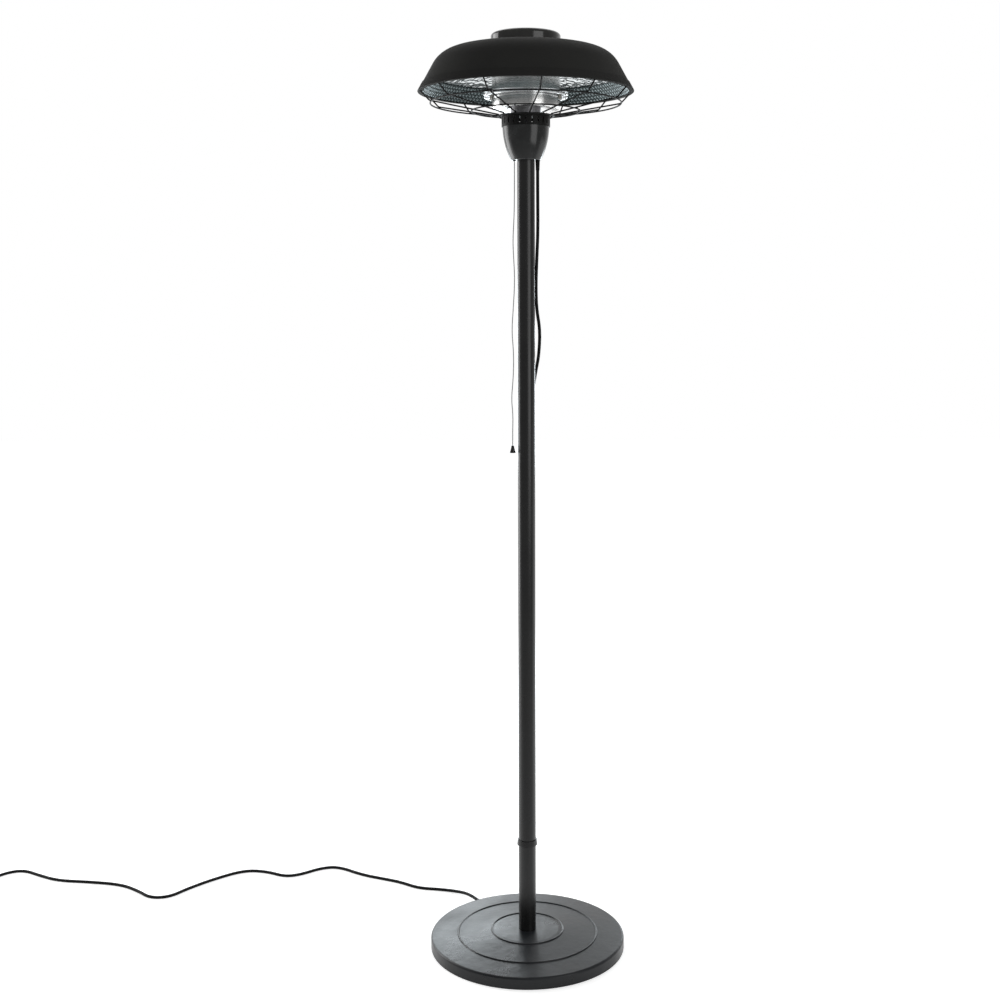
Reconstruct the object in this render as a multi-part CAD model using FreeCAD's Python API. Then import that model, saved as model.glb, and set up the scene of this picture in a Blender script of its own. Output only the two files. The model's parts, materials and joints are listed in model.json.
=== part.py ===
import FreeCAD, Part
import math
import os

# Free-standing electric patio heater with a pull cord.
# Millimetres, +Z up. The origin is the centre of the base on the floor, and the front faces -Y.
# Heights grow from the floor: base, pole, neck, drum, reflector, hood and cap stand on each other.

# Fits shared by all pieces
CUT_OVERRUN = 5.0
SLIP_FIT = 0.1
RUNNING_FIT = 0.05
CLEAR_GAP = 0.3

# Base: cover, beads, feet and bottom plate
BASE_RADIUS = 224.0
BASE_RIM_HEIGHT = 27.0
BASE_RISE = 12.0
BASE_EDGE_RADIUS = 5.0
BASE_WALL = 1.5
BASE_FLOOR_GAP = 1.5
CROWN_MARGIN = 52.0
BEAD_HALF_WIDTH = 2.5
BEAD_HEIGHT = 2.2
INNER_BEAD_MARGIN = 10.5
OUTER_BEAD_INSET = 63.5
FOOT_HEIGHT = 3.0
FOOT_RADIUS = 10.0
FOOT_INSET = 24.0
FOOT_COUNT = 6
PLATE_THICKNESS = 1.5

# Base: ballast, posts and their screws
WEIGHT_EDGE_GAP = 8.0
WEIGHT_TOP_GAP = 0.5
WEIGHT_POST_GAP = 3.0
CHANNEL_GAP = 3.0
POST_RADIUS = 5.0
POST_INSET = 12.0
POST_COUNT = 3
POST_FIRST_ANGLE = 30.0
POST_SCREW_RADIUS = 2.0
POST_SCREW_DEPTH = 12.0
POST_SCREW_HEAD_RADIUS = 4.0
POST_SCREW_HEAD_HEIGHT = 2.0

# Pole, its socket in the base, and its joint
POLE_RADIUS = 20.0
POLE_WALL = 1.5
SOCKET_DEPTH = 16.0
SOCKET_WALL = 3.0
SOCKET_LIP_HEIGHT = 3.0
SOCKET_LIP_WIDTH = 6.0
SOCKET_FLANGE_WIDTH = 24.0
SOCKET_FLANGE_THICKNESS = 4.0
SET_SCREW_RADIUS = 2.0
SET_SCREW_LENGTH = 7.0
SET_SCREW_COUNT = 3
COLLAR_BOTTOM_HEIGHT = 238.5
COLLAR_LENGTH = 12.0
COLLAR_FLARE = 3.6
COLLAR_LIP = 2.2
COLLAR_EDGE = 0.5
SPIGOT_LENGTH = 100.0
SPIGOT_WALL = 2.0
POLE_SCREW_RADIUS = 2.0
POLE_SCREW_HEAD_RADIUS = 4.0
POLE_SCREW_HEAD_HEIGHT = 2.0
POLE_SCREW_TIP = 1.0
JOINT_SCREW_OFFSET = 32.0

# Neck cup, slotted band and lid
NECK_BOTTOM_HEIGHT = 1816.0
CUP_HEIGHT = 75.0
CUP_WALL = 2.5
CUP_BOTTOM_RADIUS = 34.5
CUP_TOP_RADIUS = 53.0
CUP_BELLY_HEIGHT_SHARE = 0.37
CUP_BELLY_REACH_SHARE = 0.58
CUP_EDGE_RADIUS = 1.5
CUP_COLLAR_HEIGHT = 12.0
CUP_COLLAR_WALL = 2.0
VENT_HEIGHT = 24.0
VENT_STEP = 2.0
VENT_WALL = 2.5
VENT_LAP = 5.0
VENT_LAP_WALL = 2.2
VENT_FLOOR = 3.0
VENT_SLOT_COUNT = 24
VENT_SLOT_WIDTH = 3.2
VENT_SLOT_MARGIN = 5.0
LID_THICKNESS = 2.0
LID_OVERHANG = 1.5

# Stem: the hollow rod that the whole head is clamped on
POLE_INSERT = 36.0
STEM_RADIUS = 11.0
STEM_WALL = 2.0
STEM_FOOT_MARGIN = 3.0
STEM_FOOT_HEIGHT = 3.0
STEM_TOP_MARGIN = 3.0
BUSH_LENGTH = 26.0
BUSH_FLANGE = 3.0
STEM_NUT_ACROSS = 30.0
STEM_NUT_HEIGHT = 6.0
SPACER_WALL = 3.0
NECK_SPACER_RADIUS = 34.0

# Chassis in the neck, with its terminal block and tilt switch
CHASSIS_THICKNESS = 2.0
FIXING_RADIUS = 1.5
FIXING_DEPTH = 4.0
FIXING_HEAD_RADIUS = 2.6
FIXING_HEAD_HEIGHT = 1.6
BLOCK_GAP = 3.0
TERMINAL_LENGTH = 30.0
TERMINAL_WIDTH = 15.0
TERMINAL_HEIGHT = 16.0
TERMINAL_WELL_RADIUS = 2.5
TERMINAL_WELL_DEPTH = 5.0
TERMINAL_WELL_COUNT = 3
TILT_FRAME_LENGTH = 18.0
TILT_FRAME_DEPTH = 16.0
TILT_FRAME_HEIGHT = 24.0
TILT_FRAME_WALL = 2.0
TILT_FRAME_FLOOR = 5.0
TILT_PIN_RADIUS = 1.2
TILT_PIN_DROP = 3.5
TILT_BOB_RADIUS = 3.4
TILT_BOB_LENGTH = 8.0
TILT_BOB_LIFT = 1.5
TILT_ARM_WIDTH = 4.0
TILT_ARM_THICKNESS = 2.0

# Pull switch: body, lid, plunger, return spring and index rotor
PULL_X = -26.0
PULL_TRAVEL = 12.0
SWITCH_LENGTH = 17.0
SWITCH_WIDTH = 20.0
SWITCH_HEIGHT = 28.0
SWITCH_FLOOR = 2.0
SWITCH_BORE_RADIUS = 5.0
SWITCH_LID_THICKNESS = 2.0
PLUNGER_HEAD_HEIGHT = 4.0
PLUNGER_STEM_RADIUS = 1.8
PLUNGER_STEM_DROP = 5.0
ROTOR_HEIGHT = 4.0
ROTOR_PIN_RADIUS = 1.2
ROTOR_NOTCH_WIDTH = 1.6
ROTOR_NOTCH_DEPTH = 1.2
ROTOR_NOTCH_COUNT = 4
SPRING_SHUT_HEIGHT = 4.0
SPRING_RADIUS = 3.3
SPRING_WIRE_RADIUS = 0.35
SPRING_TURNS = 6

# Drum, lamps and their sockets
DRUM_GAP = 13.0
DRUM_RADIUS = 77.0
DRUM_HEIGHT = 111.0
DRUM_WALL = 1.0
DRUM_EDGE_RADIUS = 6.0
LAMP_GAP = 17.0
LAMP_HEIGHT = 32.0
LAMP_TUBE_RADIUS = 5.0
LAMP_TUBE_WALL = 1.0
LAMP_BEND_RADIUS = 9.0
LAMP_END_ANGLE = 10.0
FILAMENT_RADIUS = 1.0
SOCKET_BODY_RADIUS = 8.0
SOCKET_REACH_OUT = 5.0
SOCKET_REACH_IN = 9.0
SOCKET_RIM_RADIUS = 10.5
SOCKET_RIM_THICKNESS = 2.0
LEAD_RADIUS = 1.2
LEAD_HOLE_GAP = 0.6
LEAD_CIRCLE_RADIUS = 27.0
LEAD_BEND_RADIUS = 8.0

# Reflector, hood, rim band and cap
REFLECTOR_WALL = 1.0
REFLECTOR_FLAT_MARGIN = 8.0
REFLECTOR_BULGE = 5.0
REFLECTOR_GAP = 4.0
SKIRT_HEIGHT = 36.0
HOOD_SPACER_LENGTH = 35.0
HOOD_DEPTH = 110.0
HOOD_RIM_RADIUS = 243.6
HOOD_CROWN_RADIUS = 857.0
HOOD_SHOULDER_RADIUS = 66.6
HOOD_SKIRT_ANGLE = 28.7
HOOD_WALL = 1.5
RIM_BAND_HEIGHT = 18.5
RIM_BAND_WALL = 1.2
RIM_BAND_EDGE_RADIUS = 1.0
RIM_LIP_MARGIN = 2.5
TOP_NUT_ACROSS = 30.0
TOP_NUT_HEIGHT = 8.0
TOP_NUT_FLANGE_RADIUS = 26.0
TOP_NUT_FLANGE_THICKNESS = 2.5
CAP_RADIUS = 79.0
CAP_EDGE_RADIUS = 8.0
CAP_WALL = 2.0
CAP_BOSS_HEIGHT = 17.0
CAP_BOSS_WALL = 2.0
CAP_BOSS_GAP = 2.5

# Wire guard
GUARD_WIRE_RADIUS = 1.7
GUARD_WIRE_COUNT = 12
GUARD_FIRST_ANGLE = -81.9
GUARD_INSET = 20.0
GUARD_DROP = 21.0
GUARD_BEND_RADIUS = 10.0
GUARD_HUB_GAP = 6.0
GUARD_HUB_RISE = 3.0
GUARD_MIDDLE_SHARE = 0.39
WELD_GAP = 0.05

# Mains lead: gland at the neck, boot in the pole, boot in the base
CORD_RADIUS = 3.75
GLAND_X = 26.5
GLAND_Y = 3.0
BOOT_RADIUS = 5.0
BOOT_TIP_RADIUS = 4.3
BOOT_LENGTH = 22.0
BOOT_RIM_WIDTH = 0.7
BOOT_RIM_THICKNESS = 1.5
GLAND_RUN = 26.0
POLE_BOOT_HEIGHT = 1262.0
POLE_BOOT_ANGLE = 62.0
POLE_BOOT_TILT = 20.0
POLE_BOOT_REACH_IN = 24.0
POLE_BOOT_REACH_OUT = 26.0
POLE_BOOT_RUN = 26.0
BASE_BOOT_ANGLE = 120.0
BASE_BOOT_HEIGHT = 13.0
BASE_BOOT_RIM_WIDTH = 2.0
BASE_BOOT_RIM_THICKNESS = 2.5
BASE_BOOT_RUN = 36.0
INNER_LEAD_BEND_RADIUS = 22.0
ENTRY_BEND_RADIUS = 18.0

# Supply lead beside the pole, between the gland's tip and the pole boot's tip
SUPPLY_ROUTE = [
    (26.6, 3.4, 1735.0),
    (27.0, 4.5, 1655.0),
    (23.9, 9.0, 1585.0),
    (22.2, 12.0, 1528.0),
    (23.8, 9.5, 1478.0),
    (31.5, 7.5, 1432.0),
    (29.0, 12.0, 1376.0),
    (22.4, 25.0, 1340.0),
]

# Pull cord, from the plunger's end through the bush down to the bell
PULL_CORD_RADIUS = 1.0
PULL_BUSH_GAP = 0.6
PULL_BUSH_RADIUS = 3.2
PULL_BUSH_RIM_WIDTH = 1.0
PULL_BUSH_RIM_THICKNESS = 1.2
BELL_HEIGHT = 17.0
BELL_RADIUS = 7.5
BELL_TOP_RADIUS = 3.0
BELL_WAIST_RADIUS = 5.0
BELL_WAIST_SHARE = 0.55
BELL_HOLLOW_DEPTH = 6.0
BELL_WALL = 1.5
PULL_ROUTE = [
    (-26.0, 0.0, 1796.0),
    (-26.3, -0.5, 1742.0),
    (-27.0, 0.2, 1690.0),
    (-30.2, 0.6, 1636.0),
    (-28.4, -0.2, 1596.0),
    (-26.4, -0.6, 1560.0),
    (-26.9, 0.2, 1524.0),
    (-29.6, 0.5, 1480.0),
    (-33.0, 0.0, 1430.0),
    (-29.6, -0.6, 1390.0),
    (-28.8, 0.2, 1352.0),
    (-30.8, 0.6, 1312.0),
    (-34.2, 0.0, 1275.0),
    (-30.6, -0.5, 1236.0),
    (-31.6, 0.0, 1200.0),
    (-31.6, 0.0, 1168.0),
]

# Mains cord on the floor, from the base boot's tip to the coil
FLOOR_GAP = 0.05
FLOOR_LEVEL = CORD_RADIUS + FLOOR_GAP
FLOOR_ROUTE = [
    (-170.0, 282.0, 5.6),
    (-222.0, 301.0, FLOOR_LEVEL),
    (-278.0, 309.0, FLOOR_LEVEL),
    (-326.0, 346.0, FLOOR_LEVEL),
    (-374.0, 368.0, FLOOR_LEVEL),
    (-432.0, 394.0, FLOOR_LEVEL),
    (-500.0, 447.0, FLOOR_LEVEL),
    (-546.0, 437.0, FLOOR_LEVEL),
    (-592.0, 396.0, FLOOR_LEVEL),
    (-632.0, 384.0, FLOOR_LEVEL),
    (-684.0, 416.0, FLOOR_LEVEL),
    (-744.0, 424.0, FLOOR_LEVEL),
    (-812.0, 368.0, FLOOR_LEVEL),
    (-866.0, 308.0, FLOOR_LEVEL),
    (-900.0, 258.0, FLOOR_LEVEL),
    (-948.0, 253.0, FLOOR_LEVEL),
    (-988.0, 294.0, FLOOR_LEVEL),
    (-1042.0, 334.0, FLOOR_LEVEL),
    (-1128.0, 351.0, FLOOR_LEVEL),
    (-1214.0, 360.0, FLOOR_LEVEL),
    (-1274.0, 394.0, FLOOR_LEVEL),
    (-1326.0, 428.0, FLOOR_LEVEL),
    (-1368.0, 410.0, FLOOR_LEVEL),
]
FLOOR_ROUTE_LAST_RUN = 50.0

# Coil of the length that is put away, its tie and the plug
COIL_X = -1441.0
COIL_Y = 300.0
COIL_INNER_RADIUS = 32.0
COIL_STEP = 9.5
COIL_LAYER_STEP = 8.2
COIL_LAYER_TURNS = 1.5
COIL_CLIMB_TURNS = 0.5
TIE_THICKNESS = 1.2
TIE_WIDTH = 8.0
TIE_GAP = 0.5
PLUG_CORD_SWAY = 2.6
PLUG_CORD_RUN = 18.0
PLUG_CORD_REACH = 84.0
PLUG_BODY_RADIUS = 18.5
PLUG_BODY_LENGTH = 36.0
PLUG_RELIEF_LENGTH = 26.0
PLUG_RELIEF_RADIUS = 9.0
PLUG_EDGE_RADIUS = 3.0
PLUG_PIN_RADIUS = 2.4
PLUG_PIN_LENGTH = 19.0
PLUG_PIN_SPACING = 19.0
PLUG_PIN_SEAT = 8.0

# Heights and radii that follow from the values above
UP = FreeCAD.Vector(0, 0, 1)
ORIGIN = FreeCAD.Vector(0, 0, 0)
PLATE_BOTTOM = FOOT_HEIGHT
PLATE_TOP = PLATE_BOTTOM + PLATE_THICKNESS
CROWN_TOP = BASE_RIM_HEIGHT + BASE_RISE
CROWN_UNDERSIDE = CROWN_TOP - BASE_WALL
CROWN_RADIUS = POLE_RADIUS + CROWN_MARGIN
BASE_INNER_RADIUS = BASE_RADIUS - BASE_WALL
POST_CIRCLE_RADIUS = CROWN_RADIUS - POST_INSET
POLE_BORE = POLE_RADIUS - POLE_WALL
POLE_BOTTOM = CROWN_TOP - SOCKET_DEPTH
POLE_HOLE = POLE_RADIUS + SLIP_FIT
SOCKET_RADIUS = POLE_HOLE + SOCKET_WALL
JOINT_HEIGHT = COLLAR_BOTTOM_HEIGHT + COLLAR_LENGTH / 2
SPIGOT_RADIUS = POLE_BORE - SLIP_FIT
POLE_TOP = NECK_BOTTOM_HEIGHT + POLE_INSERT
CUP_FLOOR = NECK_BOTTOM_HEIGHT + CUP_WALL
CUP_TOP = NECK_BOTTOM_HEIGHT + CUP_HEIGHT
VENT_RADIUS = CUP_TOP_RADIUS + VENT_STEP
VENT_TOP = CUP_TOP + VENT_HEIGHT
LID_TOP = VENT_TOP + LID_THICKNESS
STEM_HOLE = STEM_RADIUS + SLIP_FIT
BUSH_BOTTOM = POLE_TOP - BUSH_LENGTH
CHASSIS_BOTTOM = POLE_TOP + BUSH_FLANGE
CHASSIS_TOP = CHASSIS_BOTTOM + CHASSIS_THICKNESS
STEM_NUT_TOP = CHASSIS_TOP + STEM_NUT_HEIGHT
TERMINAL_X = STEM_NUT_ACROSS / 2 + BLOCK_GAP + TERMINAL_WIDTH / 2
TILT_Y = STEM_NUT_ACROSS / math.sqrt(3) + BLOCK_GAP + TILT_FRAME_DEPTH / 2
SWITCH_TOP = CHASSIS_TOP + SWITCH_HEIGHT
SWITCH_BORE_BOTTOM = CHASSIS_TOP + SWITCH_FLOOR
PLUNGER_BOTTOM = SWITCH_BORE_BOTTOM + PULL_TRAVEL + SPRING_SHUT_HEIGHT
PLUNGER_TOP = PLUNGER_BOTTOM + PLUNGER_HEAD_HEIGHT
PLUNGER_TAIL = CHASSIS_BOTTOM - PLUNGER_STEM_DROP
DRUM_BOTTOM = LID_TOP + DRUM_GAP
DRUM_TOP = DRUM_BOTTOM + DRUM_HEIGHT
LAMP_RADIUS = DRUM_RADIUS + LAMP_GAP
LAMP_LEVEL = DRUM_BOTTOM + LAMP_HEIGHT
REFLECTOR_TOP = DRUM_TOP + REFLECTOR_WALL
SPACER_RADIUS = STEM_HOLE + SPACER_WALL
CROWN_INNER_RADIUS = HOOD_CROWN_RADIUS - HOOD_WALL
SPACER_SAG = CROWN_INNER_RADIUS - math.sqrt(CROWN_INNER_RADIUS**2 - SPACER_RADIUS**2)
HOOD_APEX = REFLECTOR_TOP + HOOD_SPACER_LENGTH + SPACER_SAG + HOOD_WALL
RIM_HEIGHT = HOOD_APEX - HOOD_DEPTH
LIP_TOP = RIM_HEIGHT + RIM_BAND_WALL
SKIRT_TOP = LIP_TOP + SKIRT_HEIGHT
SKIRT_OFFSET = HOOD_WALL + REFLECTOR_GAP
TOP_NUT_SEAT = HOOD_APEX + TOP_NUT_FLANGE_THICKNESS
STEM_TOP = TOP_NUT_SEAT + TOP_NUT_HEIGHT + STEM_TOP_MARGIN
CAP_TOP = TOP_NUT_SEAT + CAP_BOSS_HEIGHT + CAP_WALL
COIL_OUTER_RADIUS = COIL_INNER_RADIUS + COIL_STEP * COIL_LAYER_TURNS
COIL_LEVEL = TIE_THICKNESS + TIE_GAP + CORD_RADIUS
COIL_TURNS = 2 * COIL_LAYER_TURNS + COIL_CLIMB_TURNS
CORD_DIAMETER = 2 * CORD_RADIUS
PLUG_AXIS_HEIGHT = PLUG_BODY_RADIUS + FLOOR_GAP


def polar(radius, angle, height=0.0):
    """Point at a radius and an angle in degrees about the axis."""
    turn = math.radians(angle)
    return FreeCAD.Vector(radius * math.cos(turn), radius * math.sin(turn), height)


def flat(radius, height):
    """Point of a turned outline."""
    return FreeCAD.Vector(radius, 0, height)


def closed_wire(start, *steps):
    """Closed wire. A step is the next corner, or the (middle, end) of an arc."""
    edges = []
    here = start
    for step in list(steps) + [start]:
        if isinstance(step, tuple):
            middle, there = step
            edges.append(Part.Arc(here, middle, there).toShape())
        else:
            there = step
            edges.append(Part.LineSegment(here, there).toShape())
        here = there
    return Part.Wire(edges)


def round_off(before, corner, after, radius):
    """Steps that round a corner of an outline off: where its arc starts, and its middle and end."""
    back = (before - corner).normalize()
    on = (after - corner).normalize()
    half = back.getAngle(on) / 2
    start = corner + back * (radius / math.tan(half))
    end = corner + on * (radius / math.tan(half))
    middle = corner + (back + on).normalize() * (radius / math.sin(half) - radius)
    return [start, (middle, end)]


def turned(wire):
    """Solid of revolution about the axis."""
    return Part.Face(wire).revolve(ORIGIN, UP, 360)


def turned_corners(*corners):
    """Solid of revolution with a straight-sided outline of (radius, height) corners."""
    points = [flat(radius, height) for radius, height in corners]
    return turned(closed_wire(*points))


def tube(inner, outer, bottom, top):
    """Upright tube about the axis."""
    return turned_corners((inner, bottom), (outer, bottom), (outer, top), (inner, top))


def rod(start, end, radius):
    """Round bar between two points."""
    along = end - start
    return Part.makeCylinder(radius, along.Length, start, along)


def taper(start, end, first_radius, last_radius):
    """Cone between two points."""
    along = end - start
    return Part.makeCone(first_radius, last_radius, along.Length, start, along)


def block(low, high):
    """Upright block between two corners."""
    size = high - low
    return Part.makeBox(size.x, size.y, size.z, low)


def hexagon(across, bottom, top):
    """Hexagonal prism about the axis, with flats on its left and right."""
    corner_radius = across / math.sqrt(3)
    corners = [polar(corner_radius, 30 + 60 * k, bottom) for k in range(6)]
    return Part.Face(closed_wire(*corners)).extrude(UP * (top - bottom))


def around(shape, count, first_angle=0.0):
    """Copies of a shape, evenly spaced about the axis."""
    return [shape.rotated(ORIGIN, UP, first_angle + k * 360 / count) for k in range(count)]


def moved(shape, x, y):
    """Copy of a shape moved sideways."""
    return shape.translated(FreeCAD.Vector(x, y, 0))


def swept(edges, radius):
    """Round tube along a path of edges."""
    path = Part.Wire(edges)
    start = edges[0].valueAt(edges[0].FirstParameter)
    heading = edges[0].tangentAt(edges[0].FirstParameter)
    ring = Part.Wire(Part.Circle(start, heading, radius).toShape())
    return path.makePipeShell([ring], True, False)


def route_edges(points, radius_at):
    """Straight runs joined by tangent arcs. radius_at(shorter run, half turn) gives an arc's radius."""
    edges = []
    radii = []
    here = points[0]
    for before, corner, after in zip(points, points[1:], points[2:]):
        shorter = min((corner - before).Length, (after - corner).Length)
        half_turn = (corner - before).getAngle(after - corner) / 2
        radius = radius_at(shorter, half_turn)
        start, (middle, end) = round_off(before, corner, after, radius)
        edges.append(Part.LineSegment(here, start).toShape())
        edges.append(Part.Arc(start, middle, end).toShape())
        radii.append(radius)
        here = end
    edges.append(Part.LineSegment(here, points[-1]).toShape())
    return edges, radii


def free_cord(name, points, radius):
    """Cord along its route with arcs as large as the runs allow. Prints its bends, length and volume."""
    share_of_run = 0.45
    edges, radii = route_edges(points, lambda run, half: share_of_run * run / math.tan(half))
    solid = swept(edges, radius)
    length = sum(edge.Length for edge in edges)
    ratio = solid.Volume / (math.pi * radius**2 * length)
    print(f"{name}: {length:.0f} long, tightest arcs {[round(r) for r in sorted(radii)[:5]]},"
          f" volume over section times length {ratio:.4f}")
    return solid


def bent_rod(points, bend_radius, radius):
    """Round bar along straight runs, with one bend radius at all its corners."""
    edges, _ = route_edges(points, lambda run, half: bend_radius)
    return swept(edges, radius)


def tangent_arc(start, heading, end):
    """Arc that leaves start along a heading and reaches end, in less than half a circle."""
    chord = end - start
    side = (chord - heading * chord.dot(heading)).normalize()
    radius = chord.dot(chord) / (2 * side.dot(chord))
    centre = start + side * radius
    middle = centre + ((start + end) * 0.5 - centre).normalize() * radius
    return Part.Arc(start, middle, end).toShape()


def biarc(start, heading, end, end_heading):
    """Two tangent arcs from start to end with the given headings there."""
    chord = end - start
    both = heading + end_heading
    spread = 2 * (1 - heading.dot(end_heading))
    reach = (math.sqrt(chord.dot(both) ** 2 + spread * chord.dot(chord)) - chord.dot(both)) / spread
    joint = (start + end + (heading - end_heading) * reach) * 0.5
    joint_heading = (joint - (start + heading * reach)).normalize()
    return [tangent_arc(start, heading, joint), tangent_arc(joint, joint_heading, end)]


def wound_edges(place, turns):
    """Biarcs of a quarter turn along a winding. place(t) gives the point after t turns."""
    step = 0.25
    nudge = 0.001
    count = round(turns / step)
    points = [place(k * step) for k in range(count + 1)]
    headings = [(place(k * step + nudge) - place(k * step - nudge)).normalize() for k in range(count + 1)]
    edges = []
    for k in range(count):
        edges += biarc(points[k], headings[k], points[k + 1], headings[k + 1])
    return edges


def least_gap(place, turns, radius):
    """Least distance between the surfaces of a winding's turns, measured on points along it."""
    per_turn = 72
    points = [place(k / per_turn) for k in range(round(turns * per_turn) + 1)]
    apart = per_turn // 2
    count = len(points)
    pairs = ((points[i] - points[j]).Length for i in range(count) for j in range(i + apart, count))
    return min(pairs) - 2 * radius


def circle_through(first, second, third):
    """Centre and radius of the circle through three points of an outline."""
    circle = Part.Circle(first, second, third)
    return circle.Center, circle.Radius


# Base


def cover_top(radius):
    """Height of the cover's upper face at a radius."""
    if radius <= CROWN_RADIUS:
        return CROWN_TOP
    return CROWN_TOP - BASE_RISE * (radius - CROWN_RADIUS) / (BASE_RADIUS - CROWN_RADIUS)


def cover_bead(radius):
    """Raised ring pressed into the cover."""
    low = radius - BEAD_HALF_WIDTH
    high = radius + BEAD_HALF_WIDTH
    root = BASE_WALL / 2
    return turned(closed_wire(
        flat(low, cover_top(low) - root),
        flat(low, cover_top(low)),
        (flat(radius, cover_top(radius) + BEAD_HEIGHT), flat(high, cover_top(high))),
        flat(high, cover_top(high) - root),
    ))


def base_boot_line(start_radius, end_radius):
    """Two points on the axis of the base's cord exit."""
    start = polar(start_radius, BASE_BOOT_ANGLE, BASE_BOOT_HEIGHT)
    end = polar(end_radius, BASE_BOOT_ANGLE, BASE_BOOT_HEIGHT)
    return start, end


def base_cover():
    """Pressed cover with a rounded edge, a flat crown and two raised rings."""
    edge = flat(BASE_RADIUS, BASE_RIM_HEIGHT)
    edge_foot = flat(BASE_RADIUS, BASE_FLOOR_GAP)
    crown_edge = flat(CROWN_RADIUS, CROWN_TOP)
    inner_edge = flat(BASE_INNER_RADIUS, cover_top(BASE_INNER_RADIUS) - BASE_WALL)
    inner_foot = flat(BASE_INNER_RADIUS, BASE_FLOOR_GAP)
    inner_crown_edge = flat(CROWN_RADIUS, CROWN_UNDERSIDE)
    shell = turned(closed_wire(
        flat(POLE_HOLE, CROWN_TOP),
        crown_edge,
        *round_off(crown_edge, edge, edge_foot, BASE_EDGE_RADIUS),
        edge_foot,
        inner_foot,
        *round_off(inner_foot, inner_edge, inner_crown_edge, BASE_EDGE_RADIUS - BASE_WALL),
        inner_crown_edge,
        flat(POLE_HOLE, CROWN_UNDERSIDE),
    ))
    beads = [cover_bead(CROWN_RADIUS + INNER_BEAD_MARGIN), cover_bead(BASE_RADIUS - OUTER_BEAD_INSET)]
    start, end = base_boot_line(BASE_INNER_RADIUS - CUT_OVERRUN, BASE_RADIUS + CUT_OVERRUN)
    return shell.fuse(beads).removeSplitter().cut(rod(start, end, BOOT_RADIUS + SLIP_FIT))


def post_places():
    """Bottom centres of the posts, on the bottom plate."""
    angles = [POST_FIRST_ANGLE + k * 360 / POST_COUNT for k in range(POST_COUNT)]
    return [polar(POST_CIRCLE_RADIUS, angle, PLATE_TOP) for angle in angles]


def base_plate():
    """Flat bottom plate with holes for the post screws."""
    plate = Part.makeCylinder(BASE_INNER_RADIUS - CLEAR_GAP, PLATE_THICKNESS, UP * PLATE_BOTTOM)
    below = UP * (PLATE_THICKNESS + CUT_OVERRUN)
    radius = POST_SCREW_RADIUS + SLIP_FIT
    holes = [rod(p - below, p + UP * CUT_OVERRUN, radius) for p in post_places()]
    return plate.cut(holes)


def base_feet():
    """Rubber pads under the bottom plate."""
    pad = Part.makeCylinder(FOOT_RADIUS, FOOT_HEIGHT, polar(BASE_RADIUS - FOOT_INSET, 0))
    return around(pad, FOOT_COUNT, POST_FIRST_ANGLE)


def base_weight():
    """Cast ballast ring that fills the base under the cover, with a channel for the lead."""
    inner = POST_CIRCLE_RADIUS + POST_RADIUS + WEIGHT_POST_GAP
    outer = BASE_INNER_RADIUS - WEIGHT_EDGE_GAP
    drop = BASE_WALL + WEIGHT_TOP_GAP
    ring = turned_corners(
        (inner, PLATE_TOP),
        (outer, PLATE_TOP),
        (outer, cover_top(outer) - drop),
        (CROWN_RADIUS, CROWN_TOP - drop),
        (inner, CROWN_TOP - drop),
    )
    half_width = CORD_RADIUS + CHANNEL_GAP
    channel = block(FreeCAD.Vector(0, -half_width, 0), FreeCAD.Vector(BASE_RADIUS, half_width, CROWN_TOP))
    return ring.cut(channel.rotated(ORIGIN, UP, BASE_BOOT_ANGLE))


def base_posts():
    """Posts welded under the crown, tapped for the bottom plate's screws."""
    posts = []
    for p in post_places():
        post = rod(p, FreeCAD.Vector(p.x, p.y, CROWN_UNDERSIDE), POST_RADIUS)
        end = p + UP * (POST_SCREW_DEPTH + CLEAR_GAP)
        hole = rod(p - UP * CUT_OVERRUN, end, POST_SCREW_RADIUS + SLIP_FIT)
        posts.append(post.cut(hole))
    return posts


def base_screws():
    """Screws that hold the bottom plate to the posts."""
    screws = []
    for p in post_places():
        seat = p - UP * PLATE_THICKNESS
        shank = rod(seat, p + UP * POST_SCREW_DEPTH, POST_SCREW_RADIUS)
        head = rod(seat - UP * POST_SCREW_HEAD_HEIGHT, seat, POST_SCREW_HEAD_RADIUS)
        screws.append(head.fuse(shank).removeSplitter())
    return screws


def base_boot():
    """Tapered boot round the cord where it leaves the base."""
    inner_end, inner_face = base_boot_line(BASE_INNER_RADIUS - CLEAR_GAP - BASE_BOOT_RIM_THICKNESS,
                                           BASE_INNER_RADIUS - CLEAR_GAP)
    outer_face, tip = base_boot_line(BASE_RADIUS, BASE_RADIUS + BOOT_LENGTH)
    rim = rod(inner_end, inner_face, BOOT_RADIUS + BASE_BOOT_RIM_WIDTH)
    wall = rod(inner_face, outer_face, BOOT_RADIUS)
    return rim.fuse([wall, taper(outer_face, tip, BOOT_RADIUS, BOOT_TIP_RADIUS)])


# Pole


def set_screw_places():
    """Points where the screws of the socket and the cup's collar meet the pole, and their headings."""
    socket_level = (POLE_BOTTOM + CROWN_UNDERSIDE - SOCKET_FLANGE_THICKNESS) / 2
    collar_level = CUP_FLOOR + CUP_COLLAR_HEIGHT / 2
    places = [(POST_FIRST_ANGLE + k * 360 / SET_SCREW_COUNT, socket_level) for k in range(SET_SCREW_COUNT)]
    places += [(angle, collar_level) for angle in (-90, 90)]
    return [(polar(POLE_RADIUS, angle, level), polar(1, angle)) for angle, level in places]


def set_screws():
    """Headless screws that clamp the pole in its socket and the cup on the pole."""
    return [rod(p, p + out * SET_SCREW_LENGTH, SET_SCREW_RADIUS) for p, out in set_screw_places()]


def set_screw_holes():
    """Cutters for the threaded holes of the set screws."""
    return [rod(p, p + out * (SET_SCREW_LENGTH + CUT_OVERRUN), SET_SCREW_RADIUS + SLIP_FIT)
            for p, out in set_screw_places()]


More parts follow.
